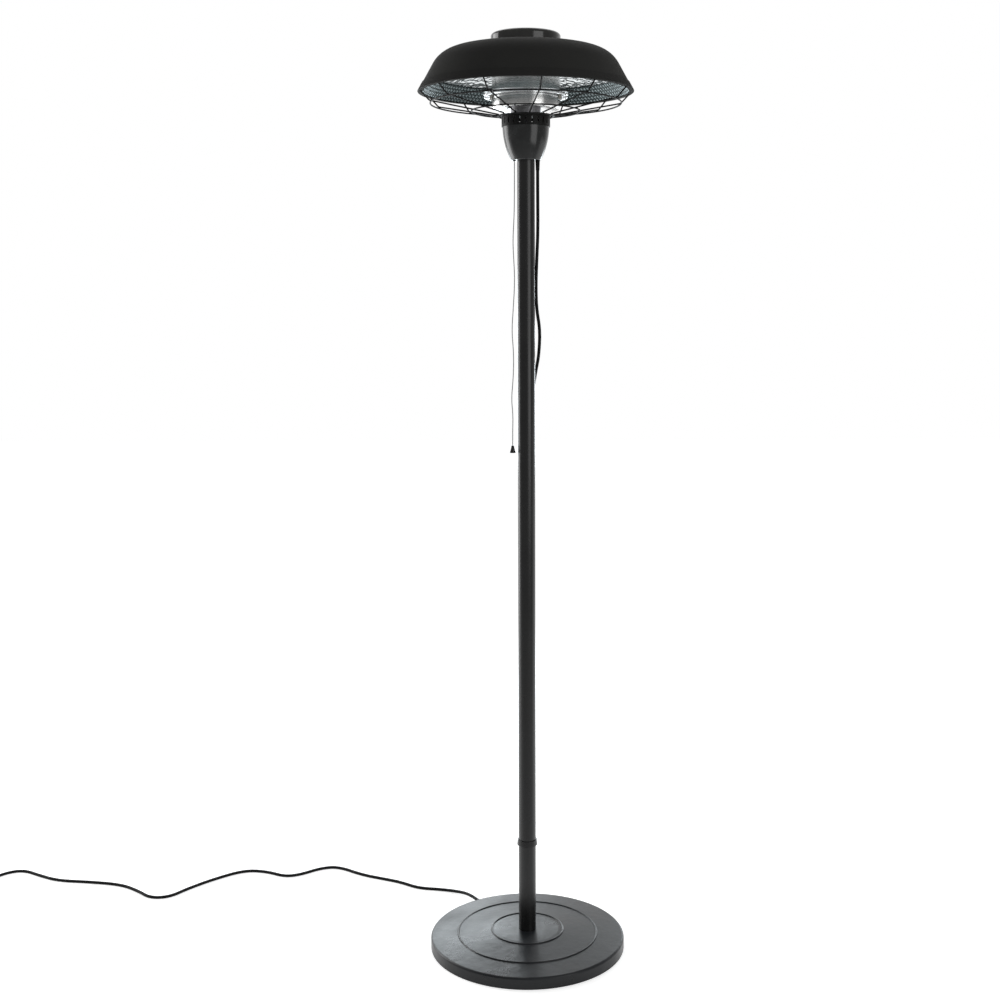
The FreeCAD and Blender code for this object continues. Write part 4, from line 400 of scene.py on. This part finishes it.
def polished(name, colour, gloss, marks):
    """Polished sheet with fine turning marks of a depth in metres. gloss is (lowest, highest) roughness."""
    metal = Finish(name, Metallic=1.0)
    rings = metal.noise(1.0, detail=3.0, place=metal.stretched(TURNING_STRETCH))
    smears = metal.noise(SMEAR_SIZE, detail=4.0)
    metal.colour(metal.mixed(metal.ramp(smears, NOISE_LOW, SMEAR_FULL), colour, toned(colour, SMEAR_DARKER)))
    wear = rings * RING_SHARE + smears * (1 - RING_SHARE)
    metal.roughness(between(*gloss, metal.ramp(wear, NOISE_LOW, NOISE_HIGH)))
    metal.bump(rings, marks)
    return metal.material


drum_polish = polished("drum_polish", colour=(0.82, 0.82, 0.81), gloss=(0.14, 0.26), marks=0.00002)
dish_polish = polished("dish_polish", colour=(0.50, 0.51, 0.51), gloss=(0.08, 0.18), marks=0.00001)
# The skirt's sheet is aluminium like its domes. Its near-black teal colour is painted shade and painted
# reflection of the dark hood, not the metal's own colour.
skirt_painted_shade = polished("skirt_painted_shade", colour=(0.036, 0.046, 0.048), gloss=(0.30, 0.44), marks=0.00001)
# The domes are the skirt's own sheet. Their colour is paler than the sheet's: a painted highlight that makes
# part of their bright dots, though still darker than bare aluminium.
dimple_painted_glint = polished("dimple_painted_glint", colour=(0.16, 0.19, 0.195), gloss=(0.16, 0.28), marks=0.00001)
pin_metal = polished("pin_metal", colour=(0.72, 0.68, 0.58), gloss=(0.18, 0.30), marks=0.00001)
print("polished metals are mixed")

# %% Zinc plated steel
CRYSTAL_SIZE, CRYSTAL_CORE, CRYSTAL_EDGE = 0.004, 0.1, 0.7
ZINC_DARK, ZINC_PALE = (0.24, 0.24, 0.25), (0.38, 0.38, 0.40)
ZINC_GLOSS = (0.42, 0.62)


def zinc_plate(name):
    """Zinc plated steel with soft grey crystals."""
    zinc = Finish(name, Metallic=1.0)
    crystals = zinc.ramp(zinc.speckle(CRYSTAL_SIZE), CRYSTAL_CORE, CRYSTAL_EDGE)
    zinc.colour(zinc.mixed(crystals, ZINC_DARK, ZINC_PALE))
    zinc.roughness(between(*ZINC_GLOSS, crystals))
    zinc.bump(zinc.noise(size=0.0015, detail=2.0), depth=0.00004)
    return zinc.material


zinc_steel = zinc_plate("zinc_steel")
print("zinc is plated")

# %% [markdown]
# ## Rubber, ceramic, cast iron and quartz
# The cords' sheath is extruded rubber with a slight bloom. The sockets are porous ceramic with dark flecks,
# the weight in the base is a rough casting, and the lamps are clear quartz round a dark filament.

# %% Rubber and moulded plastic
BLOOM_SIZE, BLOOM_START, BLOOM_FULL = 0.02, 0.4, 0.8
BLOOM_PALER, BLOOM_LIFT, BLOOM_DULLING = 1.5, 0.004, 0.15


def rubber(name, colour, gloss, grain, depth, specular=0.25):
    """Rubber or matt plastic with a pale bloom, and a grain of a size and depth in metres."""
    skin = Finish(name, Specular_IOR_Level=specular)
    bloom = skin.ramp(skin.noise(BLOOM_SIZE, detail=4.0), BLOOM_START, BLOOM_FULL)
    skin.colour(skin.mixed(bloom, colour, toned(colour, BLOOM_PALER, BLOOM_LIFT)))
    skin.roughness(gloss + BLOOM_DULLING * bloom)
    skin.bump(skin.noise(grain, detail=2.0), depth)
    return skin.material


cord_rubber = rubber("cord_rubber", colour=(0.008, 0.008, 0.008), gloss=0.50, grain=0.0008, depth=0.00005,
                     specular=0.10)
foot_rubber = rubber("foot_rubber", colour=(0.020, 0.020, 0.020), gloss=0.70, grain=0.0012, depth=0.00015)
plug_plastic = rubber("plug_plastic", colour=(0.012, 0.012, 0.012), gloss=0.45, grain=0.0007, depth=0.00010)
tie_plastic = rubber("tie_plastic", colour=(0.016, 0.016, 0.016), gloss=0.55, grain=0.0009, depth=0.00008)
switch_plastic = rubber("switch_plastic", colour=(0.030, 0.030, 0.030), gloss=0.50, grain=0.0008,
                        depth=0.00006)
lead_silicone = rubber("lead_silicone", colour=(0.40, 0.40, 0.38), gloss=0.45, grain=0.0008, depth=0.00004)
print("rubbers are mixed")

# %% Twisted pull cord
PLY_SCALE, PLY_SHARE, PLY_LOW, PLY_HIGH = (300.0, 300.0, 300.0), 0.7, 0.2, 0.8
PLY_DARK, PLY_PALE = (0.20, 0.20, 0.20), (0.52, 0.52, 0.52)
WOOL_GLOSS, WOOL_RISE = (0.65, 0.85), 0.4


def twisted_string(name):
    """Pale twisted cord: a fine slanting ply along its length."""
    string = Finish(name, Specular_IOR_Level=0.3)
    wave = string.node("ShaderNodeTexWave", {"bands_direction": "DIAGONAL"},
                       {"Vector": string.stretched(PLY_SCALE), "Scale": 1.0, "Distortion": 1.5})
    ply = Value(string, wave.outputs["Fac"])
    wool = string.noise(size=0.0006, detail=2.0)
    shade = string.ramp(ply * PLY_SHARE + wool * (1 - PLY_SHARE), PLY_LOW, PLY_HIGH)
    string.colour(string.mixed(shade, PLY_DARK, PLY_PALE))
    string.roughness(between(*WOOL_GLOSS, wool))
    string.bump(ply + WOOL_RISE * wool, depth=0.0003)
    return string.material


pull_braid = twisted_string("pull_braid")
print("pull cord is twisted")

# %% Ceramic and cast iron
FLECK_SIZE, FLECK_EDGE, FLECK_CORE = 0.003, 0.16, 0.06
FLECK_SHARE, STAIN_SHARE = 0.7, 0.2
CERAMIC_PALE, CERAMIC_DARK, CERAMIC_GLOSS = (0.40, 0.39, 0.36), (0.22, 0.20, 0.18), (0.6, 0.8)
IRON_DARK, IRON_PALE, IRON_GLOSS = (0.05, 0.05, 0.05), (0.16, 0.15, 0.14), (0.6, 0.9)


def ceramic(name):
    """Unglazed white ceramic with dark flecks."""
    body = Finish(name, Specular_IOR_Level=0.35)
    flecks = body.ramp(body.speckle(FLECK_SIZE), FLECK_EDGE, FLECK_CORE)
    stains = body.noise(size=0.01, detail=3.0)
    body.colour(body.mixed(flecks * FLECK_SHARE + STAIN_SHARE * stains, CERAMIC_PALE, CERAMIC_DARK))
    body.roughness(between(*CERAMIC_GLOSS, body.noise(size=0.004, detail=2.0)))
    body.bump(body.noise(size=0.0008, detail=3.0), depth=0.00008)
    return body.material


def casting(name):
    """Rough sand casting."""
    iron = Finish(name, Metallic=0.6)
    sand = iron.noise(size=0.003, detail=4.0)
    iron.colour(iron.mixed(sand, IRON_DARK, IRON_PALE))
    iron.roughness(between(*IRON_GLOSS, sand))
    iron.bump(sand, depth=0.0006)
    return iron.material


socket_ceramic, cast_weight = ceramic("socket_ceramic"), casting("cast_weight")
print("ceramic and casting are mixed")

# %% Quartz and filament
QUARTZ_DULL, QUARTZ_CLEAR, QUARTZ_GLOSS = (0.90, 0.92, 0.93), (0.96, 0.97, 0.98), (0.02, 0.07)
WIRE_DARK, WIRE_PALE, WIRE_GLOSS = (0.04, 0.04, 0.045), (0.22, 0.21, 0.20), (0.35, 0.55)


def quartz(name):
    """Clear quartz with a faint waviness."""
    glass = Finish(name, Transmission_Weight=1.0, IOR=1.46)
    haze = glass.noise(size=0.01, detail=2.0)
    glass.colour(glass.mixed(haze, QUARTZ_DULL, QUARTZ_CLEAR))
    glass.roughness(between(*QUARTZ_GLOSS, haze))
    glass.bump(glass.noise(size=0.006, detail=1.0), depth=0.00008)
    return glass.material


def heating_wire(name):
    """Dark wound heating wire."""
    wire = Finish(name, Metallic=1.0)
    wave = wire.node("ShaderNodeTexWave", None, {"Vector": wire.place, "Scale": 250.0})
    coils = Value(wire, wave.outputs["Fac"])
    wire.colour(wire.mixed(coils, WIRE_DARK, WIRE_PALE))
    wire.roughness(between(*WIRE_GLOSS, coils))
    wire.bump(coils, depth=0.0003)
    return wire.material


quartz_glass, filament = quartz("quartz"), heating_wire("filament")
print("quartz and filament are mixed")

# %% Give each CAD part and cord its finish
FINISHES = {
    "base_paint": base_paint, "pole_paint": pole_paint, "zinc_steel": zinc_steel, "cast_weight": cast_weight,
    "foot_rubber": foot_rubber, "cord_rubber": cord_rubber, "plug_plastic": plug_plastic,
    "tie_plastic": tie_plastic, "pin_brass": pin_metal, "cup_gloss": cup_gloss, "vent_paint": vent_paint,
    "switch_plastic": switch_plastic, "socket_ceramic": socket_ceramic, "lead_silicone": lead_silicone,
    "pull_braid": pull_braid, "bell_plastic": bell_gloss, "drum_polish": drum_polish,
    "reflector_bright": dish_polish, "skirt_dimpled": skirt_painted_shade, "quartz": quartz_glass,
    "filament": filament, "hood_paint": hood_paint, "rim_paint": rim_paint, "cap_gloss": cap_gloss,
    "guard_paint": guard_paint,
}
for subpart in frame["record"]["subparts"]:
    for material_slot in NODES[subpart["node"]].material_slots:
        material_slot.material = FINISHES[subpart["material_slot"]]
mains_cord.data.materials.append(cord_rubber)
supply_cord.data.materials.append(cord_rubber)
pull_string.data.materials.append(pull_braid)
print(f"{len(FINISHES)} finishes on {len(NODES)} CAD parts")

# %% [markdown]
# ## The dimpled skirt
# The lower part of the reflector is sheet with a honeycomb of small pressed domes, which throw back a bright
# dot each. There are hundreds, in staggered rows round a cone, so a Geometry Nodes tree places one low dome
# many times: it makes a point for each dome, wraps the points round the cone, and puts a dome on each. The
# domes get a paler colour than the sheet, so their bright dots are partly painted highlight.


# %% A small helper that builds a Geometry Nodes tree
class Tree:
    """A Geometry Nodes tree being made."""

    def __init__(self, name, sizes):
        self.group = bpy.data.node_groups.new(name, "GeometryNodeTree")
        for size, kind in sizes.items():
            self.group.interface.new_socket(size, in_out="INPUT", socket_type=kind)
        self.group.interface.new_socket("Geometry", in_out="OUTPUT", socket_type="NodeSocketGeometry")
        self.sizes = self.group.nodes.new("NodeGroupInput")
        self.result = self.group.nodes.new("NodeGroupOutput")

    def node(self, kind, settings=None, inputs=None):
        """Add a node: its settings first, then the values or links of its sockets."""
        node = self.group.nodes.new(kind)
        for name, value in (settings or {}).items():
            setattr(node, name, value)
        for name, value in (inputs or {}).items():
            if isinstance(value, bpy.types.NodeSocket):
                self.group.links.new(value, node.inputs[name])
            else:
                node.inputs[name].default_value = value
        return node

    def math(self, operation, first, second=0.0):
        """Result of a Math node."""
        return self.node("ShaderNodeMath", {"operation": operation}, {0: first, 1: second}).outputs[0]

    def vector(self, x, y, z):
        """Three numbers as one vector."""
        return self.node("ShaderNodeCombineXYZ", None, {"X": x, "Y": y, "Z": z}).outputs[0]

    def size(self, name):
        """One of the tree's own sizes."""
        return self.sizes.outputs[name]

    def steps_round(self, number, count):
        """Angle after a number of steps, where count steps make a full turn."""
        return self.math("MULTIPLY", number, self.math("DIVIDE", 2 * math.pi, count))

    def points_round(self, count, reach, turn, height):
        """Points round the axis, each with its reach, turn and height."""
        line = self.node("GeometryNodeMeshLine", None, {"Count": count, "Offset": (0.0, 0.0, 0.0)})
        place = self.vector(self.math("MULTIPLY", reach, self.math("COSINE", turn)),
                            self.math("MULTIPLY", reach, self.math("SINE", turn)), height)
        placed = self.node("GeometryNodeSetPosition", None, {"Geometry": line.outputs[0], "Position": place})
        return placed.outputs[0]

    def end(self, geometry, material):
        """Realize the instances, set their material and finish the tree."""
        real = self.node("GeometryNodeRealizeInstances", None, {"Geometry": geometry})
        inputs = {"Geometry": real.outputs[0], "Material": material}
        painted = self.node("GeometryNodeSetMaterial", None, inputs)
        self.group.links.new(painted.outputs[0], self.result.inputs[0])


def grown(name, tree, values):
    """Plain mesh object from a tree with the given sizes."""
    seed = bpy.data.objects.new(name + ".seed", bpy.data.meshes.new(name + ".seed"))
    SCENE.collection.objects.link(seed)
    modifier = seed.modifiers.new("tree", "NODES")
    modifier.node_group = tree.group
    for item in tree.group.interface.items_tree:
        if item.in_out == "INPUT" and item.name in values:
            modifier[item.identifier] = values[item.name]
    graph = bpy.context.evaluated_depsgraph_get()
    mesh = bpy.data.meshes.new_from_object(seed.evaluated_get(graph))
    bpy.data.objects.remove(seed)
    piece = bpy.data.objects.new(name, mesh)
    SCENE.collection.objects.link(piece)
    return piece


print("Geometry Nodes helper is ready")

# %% The dome that is repeated
DOME_SIDES = 8
DOME_RING_SHARES = ((1.0, -0.15), (0.72, 0.55), (0.36, 0.9))
DIMPLE_RADIUS, DIMPLE_HEIGHT = 0.0043, 0.0013


def dome_mesh(name, radius, height):
    """Low dome of three rings and a top, open below. A ring has a share of the radius and of the height."""
    form = bmesh.new()
    turns = [2 * math.pi * k / DOME_SIDES for k in range(DOME_SIDES)]
    rings = []
    for reach, lift in DOME_RING_SHARES:
        rings.append([form.verts.new((radius * reach * math.cos(turn), radius * reach * math.sin(turn),
                                      height * lift)) for turn in turns])
    top = form.verts.new((0, 0, height))
    for low, high in zip(rings, rings[1:]):
        for k in range(DOME_SIDES):
            n = (k + 1) % DOME_SIDES
            form.faces.new((low[k], low[n], high[n], high[k]))
    for k in range(DOME_SIDES):
        form.faces.new((rings[-1][k], rings[-1][(k + 1) % DOME_SIDES], top))
    mesh = bpy.data.meshes.new(name)
    form.to_mesh(mesh)
    form.free()
    mesh.shade_smooth()
    made = bpy.data.objects.new(name, mesh)
    SCENE.collection.objects.link(made)
    return made


dimple = dome_mesh("dimple", DIMPLE_RADIUS, DIMPLE_HEIGHT)
print(f"dome with {len(dimple.data.polygons)} faces")

# %% The tree that wraps domes round the cone
ROW_SHIFT, FIRST_ROW = 0.5, 0.6


def dimple_tree(dome):
    """Tree that puts staggered rows of a dome on the inside of a leaning cone."""
    tree = Tree("skirt_dimples", {
        "Foot radius": "NodeSocketFloat", "Foot height": "NodeSocketFloat", "Row step": "NodeSocketFloat",
        "Lean": "NodeSocketFloat", "Columns": "NodeSocketInt", "Rows": "NodeSocketInt"})
    columns, lean = tree.size("Columns"), tree.size("Lean")
    index = tree.node("GeometryNodeInputIndex").outputs[0]
    row = tree.math("FLOOR", tree.math("DIVIDE", tree.math("ADD", index, 0.5), columns))
    staggered = tree.math("ADD", index, tree.math("MULTIPLY", row, ROW_SHIFT))
    turn = tree.steps_round(staggered, columns)
    climb = tree.math("MULTIPLY", tree.math("ADD", row, FIRST_ROW), tree.size("Row step"))
    inwards = tree.math("MULTIPLY", climb, tree.math("SINE", lean))
    upwards = tree.math("MULTIPLY", climb, tree.math("COSINE", lean))
    points = tree.points_round(tree.math("MULTIPLY", columns, tree.size("Rows")),
                               tree.math("SUBTRACT", tree.size("Foot radius"), inwards), turn,
                               tree.math("ADD", tree.size("Foot height"), upwards))
    facing = tree.vector(0.0, tree.math("SUBTRACT", -math.pi / 2, lean), turn)
    source = tree.node("GeometryNodeObjectInfo", None, {"Object": dome})
    spread = tree.node("GeometryNodeInstanceOnPoints", None, {
        "Points": points, "Instance": source.outputs["Geometry"], "Rotation": facing})
    # The domes take the paler colour: painted highlight.
    tree.end(spread.outputs[0], dimple_painted_glint)
    return tree


dimples = dimple_tree(dimple)
print("dimple tree is ready")

# %% Dimples on the skirt
SKIRT_LEAN, SKIRT_WALL = math.radians(28.7), 0.001
DIMPLE_PITCH, DIMPLE_ROWS, SPARE_ROWS = 0.0098, 5, 0.2
skirt_low, skirt_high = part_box("reflector_skirt")
SKIRT_BOTTOM, SKIRT_TOP = skirt_low[2], skirt_high[2]
SKIRT_RADIUS = skirt_high[0] - SKIRT_WALL / math.cos(SKIRT_LEAN)
dimple_columns = round(2 * math.pi * SKIRT_RADIUS / DIMPLE_PITCH)
row_step = (SKIRT_TOP - SKIRT_BOTTOM) / math.cos(SKIRT_LEAN) / (DIMPLE_ROWS + SPARE_ROWS)
skirt_dimples = grown("skirt_dimples", dimples, {
    "Foot radius": SKIRT_RADIUS, "Foot height": SKIRT_BOTTOM, "Row step": row_step, "Lean": SKIRT_LEAN,
    "Columns": dimple_columns, "Rows": DIMPLE_ROWS})
bpy.data.objects.remove(dimple)
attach(skirt_dimples, "heater")
print(f"{dimple_columns * DIMPLE_ROWS} dimples, {len(skirt_dimples.data.polygons)} faces")

# %% [markdown]
# ## The hammered dish
# The dish above the lamps is hammered, so that it scatters the light: shallow round facets meet in soft
# ridges. It follows the CAD sheet's outline. Its lower face is a fine mesh, and a point of it is pressed in
# the more, the nearer it is to the middle of a hammer blow. The blows are spread evenly with a fixed seed, so
# each run gives the same dish.

# %% Outline of the dish
DISH_WALL, DISH_BULGE, FLAT_MARGIN = 0.001, 0.005, 0.008
drum_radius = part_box("lamp_drum")[1][0]
dish_low, dish_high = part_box("reflector")
DISH_FLAT, DISH_EDGE = drum_radius + FLAT_MARGIN, dish_high[0]
FLAT_LEVEL, EDGE_LEVEL = dish_high[2] - DISH_WALL, dish_low[2]


def dish_level(radius):
    """Height of the dish's lower face at a radius: flat round the stem, then an arc down to its edge."""
    share = (radius - DISH_FLAT) / (DISH_EDGE - DISH_FLAT)
    if share <= 0:
        return FLAT_LEVEL
    return FLAT_LEVEL + (EDGE_LEVEL - FLAT_LEVEL) * share + 4 * DISH_BULGE * share * (1 - share)


print(f"dish from {FLAT_LEVEL:.3f} m down to {EDGE_LEVEL:.3f} m, radius {DISH_EDGE:.3f} m")

# %% Hammer blows and the lower face
BLOW_PITCH, BLOW_DEPTH = 0.011, 0.00088
BLOW_SCATTER_SHARE, BLOW_REACH_SHARE = 0.34, 0.62
BLOW_SEED = 7
DISH_RINGS, DISH_SPOKES = 84, 420
DRUM_GAP, EDGE_GAP = 0.001, 0.0005
BATCH = 2000
draw = np.random.default_rng(BLOW_SEED)
grid = np.arange(-DISH_EDGE, DISH_EDGE + BLOW_PITCH, BLOW_PITCH)
blows = np.array([(x, y) for x in grid for y in grid])
blows += draw.uniform(-BLOW_SCATTER_SHARE, BLOW_SCATTER_SHARE, blows.shape) * BLOW_PITCH
dish_radii = np.linspace(drum_radius + DRUM_GAP, DISH_EDGE - EDGE_GAP, DISH_RINGS)
angles = np.linspace(0, 2 * math.pi, DISH_SPOKES, endpoint=False)
low_points = np.array([(r * math.cos(a), r * math.sin(a), dish_level(r)) for r in dish_radii for a in angles])
nearest = np.empty(len(low_points))
for start in range(0, len(low_points), BATCH):
    offsets = low_points[start:start + BATCH, None, :2] - blows[None]
    nearest[start:start + BATCH] = np.sqrt((offsets ** 2).sum(2).min(1))
pressed = np.clip(1 - (nearest / (BLOW_REACH_SHARE * BLOW_PITCH)) ** 2, 0, 1)
low_points[:, 2] += BLOW_DEPTH * pressed
print(f"{len(blows)} hammer blows, deepest {BLOW_DEPTH / MM:.1f} mm")

# %% Close the dish: hammered face below, plain face above, hole and edge between
STEM_HOLE = 0.0111
ARC_START, ARC_RINGS = 0.02, 10
plain = [(STEM_HOLE, FLAT_LEVEL), (STEM_HOLE, FLAT_LEVEL + DISH_WALL), (DISH_FLAT, FLAT_LEVEL + DISH_WALL)]
plain += [(r, dish_level(r) + DISH_WALL) for r in np.linspace(DISH_FLAT + ARC_START, DISH_EDGE, ARC_RINGS)]
plain += [(DISH_EDGE, EDGE_LEVEL)]
plain_points = np.array([(r * math.cos(a), r * math.sin(a), z) for r, z in plain for a in angles])
ring_count = DISH_RINGS + len(plain)
ring_order = list(range(DISH_RINGS, ring_count)) + list(range(DISH_RINGS - 1, -1, -1)) + [DISH_RINGS]
dish_faces = []
for first, second in zip(ring_order, ring_order[1:]):
    near, away = first * DISH_SPOKES, second * DISH_SPOKES
    for k in range(DISH_SPOKES):
        n = (k + 1) % DISH_SPOKES
        dish_faces.append((near + k, near + n, away + n, away + k))
dish_mesh = bpy.data.meshes.new("hammered_dish")
dish_mesh.from_pydata(np.vstack([low_points, plain_points]).tolist(), [], dish_faces)
form = bmesh.new()
form.from_mesh(dish_mesh)
bmesh.ops.recalc_face_normals(form, faces=form.faces)
form.to_mesh(dish_mesh)
form.free()
dish_mesh.shade_smooth()
hammered_dish = bpy.data.objects.new("hammered_dish", dish_mesh)
SCENE.collection.objects.link(hammered_dish)
dish_mesh.materials.append(dish_polish)
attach(hammered_dish, "heater")
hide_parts("reflector")
print(f"hammered dish with {len(dish_faces)} faces")

# %% [markdown]
# ## Welds on the guard
# The guard's wires and rings are spot welded where they cross. A tree puts one small lump of metal on each
# crossing: a ring of points for each guard ring, with one point for each wire.

# %% The weld's lump and its places
LUMP_DIVISIONS = 2


def weld_tree():
    """Tree that puts a ring of lumps round the axis."""
    tree = Tree("guard_welds", {
        "Radius": "NodeSocketFloat", "Height": "NodeSocketFloat", "First angle": "NodeSocketFloat",
        "Wires": "NodeSocketInt", "Lump": "NodeSocketFloat"})
    index = tree.node("GeometryNodeInputIndex").outputs[0]
    turn = tree.math("ADD", tree.size("First angle"), tree.steps_round(index, tree.size("Wires")))
    points = tree.points_round(tree.size("Wires"), tree.size("Radius"), turn, tree.size("Height"))
    lump = tree.node("GeometryNodeMeshIcoSphere", None,
                     {"Radius": tree.size("Lump"), "Subdivisions": LUMP_DIVISIONS})
    lumps = tree.node("GeometryNodeInstanceOnPoints", None, {"Points": points, "Instance": lump.outputs[0]})
    tree.end(lumps.outputs[0], guard_paint)
    return tree


welds = weld_tree()
print("weld tree is ready")

# %% Welds on the three rings
GUARD_WIRES, GUARD_FIRST = 12, math.radians(-81.9)
WIRE_RADIUS = 0.0017
WELD_INSET_SHARE, WELD_SIZE_SHARE = 0.2, 1.15


def ring_middle(node):
    """Radius and height of a guard ring's middle line."""
    low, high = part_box(node)
    half = (high[2] - low[2]) / 2
    return high[0] - half, (low[2] + high[2]) / 2


for ring in ("guard_outer_ring", "guard_middle_ring", "guard_hub_ring"):
    radius, level = ring_middle(ring)
    weld = grown(ring.replace("ring", "welds"), welds, {
        "Radius": radius - WELD_INSET_SHARE * WIRE_RADIUS, "Height": level + WIRE_RADIUS,
        "First angle": GUARD_FIRST, "Wires": GUARD_WIRES, "Lump": WIRE_RADIUS * WELD_SIZE_SHARE})
    weld.data.shade_smooth()
    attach(weld, "heater")
    print(f"{weld.name}: {GUARD_WIRES} welds at radius {radius:.3f} m")

# %% [markdown]
# ## The return spring
# The pull cord works against a small coil spring in the switch. The spring is drawn from a copy of the CAD
# part's mesh, with a mesh of its own, and the CAD part is hidden.

# %% A copy of the spring
return_spring = bpy.data.objects.new("return_spring", NODES["switch_spring"].data.copy())
SCENE.collection.objects.link(return_spring)
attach(return_spring, "heater")
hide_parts("switch_spring")
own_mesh(return_spring)

# %% [markdown]
# ## Studio
# The picture has a white floor and a white background. The floor is pale and takes the object's shadow. It
# also glows a little, but only to the camera and in reflections, so that it lights nothing. The world works
# the same way: the camera sees it plain white on every side. In reflections the floor and the room in front
# are dimmer than behind, as in a studio, so polished metal and gloss paint show both light and dark.


# %% Rays that are seen
def light_path(shading, kind):
    """1 for rays of a kind, such as those straight from the camera, and 0 for others."""
    return Value(shading, shading.node("ShaderNodeLightPath").outputs[f"Is {kind} Ray"])


def reflected(shading):
    """1 for rays that come off a gloss or through glass, and 0 for others."""
    return light_path(shading, "Glossy").most(light_path(shading, "Transmission"))


print("camera rays and reflected rays can be told apart")

# %% Floor
FLOOR_HALF, FLOOR_PALE = 12.0, 0.85
GLOW_NEAR, GLOW_FAR = 0.62, 0.75
FADE_START, FADE_END = 0.8, 2.5
DIM_START, DIM_END = 0.3, -0.9
floor_mesh = bpy.data.meshes.new("floor")
floor_mesh.from_pydata([(-FLOOR_HALF, -FLOOR_HALF, 0), (FLOOR_HALF, -FLOOR_HALF, 0),
                        (FLOOR_HALF, FLOOR_HALF, 0), (-FLOOR_HALF, FLOOR_HALF, 0)], [], [(0, 1, 2, 3)])
floor = bpy.data.objects.new("floor", floor_mesh)
SCENE.collection.objects.link(floor)
pale_floor = Finish("pale_floor", Roughness=1.0, Specular_IOR_Level=0.0, Emission_Strength=1.0)
pale_floor.colour((FLOOR_PALE, FLOOR_PALE, FLOOR_PALE, 1.0))
distance = pale_floor.node("ShaderNodeVectorMath", {"operation": "LENGTH"}, {0: pale_floor.place})
depth_axis = pale_floor.node("ShaderNodeSeparateXYZ", None, {0: pale_floor.place})
mirrored = reflected(pale_floor) * pale_floor.ramp(depth_axis.outputs["Y"], DIM_END, DIM_START)
glow = pale_floor.ramp(distance.outputs["Value"], FADE_START, FADE_END, GLOW_NEAR, GLOW_FAR)
floor_glow = light_path(pale_floor, "Camera").most(mirrored) * glow
pale_floor.feed(pale_floor.shader.inputs["Emission Color"], floor_glow)
floor_mesh.materials.append(pale_floor.material)
print(f"floor glows by {GLOW_NEAR} near the heater")

# %% World: white to the camera, dimmer in front for reflections, and a soft light of its own
ROOM_LIGHT, ROOM_FRONT = 0.35, 0.30
FRONT_END, BACK_START = 0.15, 0.95
world = bpy.data.worlds.new("studio")
SCENE.world = world
world.use_nodes = True
sky = Shading(world.node_tree)
direction = sky.node("ShaderNodeSeparateXYZ", None, {0: sky.node("ShaderNodeTexCoord").outputs["Generated"]})
room = sky.ramp(direction.outputs["Y"], FRONT_END, BACK_START, ROOM_FRONT, 1.0)
straight = light_path(sky, "Camera")
seen = straight.most(reflected(sky))
backdrop = world.node_tree.nodes["Background"]
backdrop.inputs["Color"].default_value = (1.0, 1.0, 1.0, 1.0)
sky.feed(backdrop.inputs["Strength"], ROOM_LIGHT + seen * (straight.most(room) - ROOM_LIGHT))
print(f"world lights the object by {ROOM_LIGHT}")

# %% Soft boxes
COOL_WHITE = (0.86, 0.95, 1.0)


def soft_box(name, place, target, size, power, colour=(1.0, 1.0, 1.0)):
    """Area light at a place, turned to a target. size is (width, height) in metres, power is in watts."""
    data = bpy.data.lights.new(name, "AREA")
    data.shape = "RECTANGLE"
    data.size, data.size_y = size
    data.energy = power
    data.color = colour
    light = bpy.data.objects.new(name, data)
    light.location = place
    light.rotation_euler = (Vector(target) - Vector(place)).to_track_quat("-Z", "Y").to_euler()
    SCENE.collection.objects.link(light)


soft_box("left_box", place=(-2.7, 1.4, 1.6), target=(0, 0, 1.2), size=(1.6, 3.0), power=50)
soft_box("right_box", place=(2.0, -2.2, 1.75), target=(0, 0, 1.6), size=(1.7, 2.3), power=21)
soft_box("top_box", place=(0.0, 1.2, 4.2), target=(0, 0, 0), size=(2.5, 2.5), power=25)
soft_box("back_box", place=(-0.80, 2.6, 1.2), target=(0, 0, 0.1), size=(1.7, 0.9), power=20,
         colour=COOL_WHITE)
soft_box("right_back_box", place=(1.25, 2.6, 1.2), target=(0, 0, 0.1), size=(0.8, 0.9), power=15,
         colour=COOL_WHITE)
print("soft boxes are set")
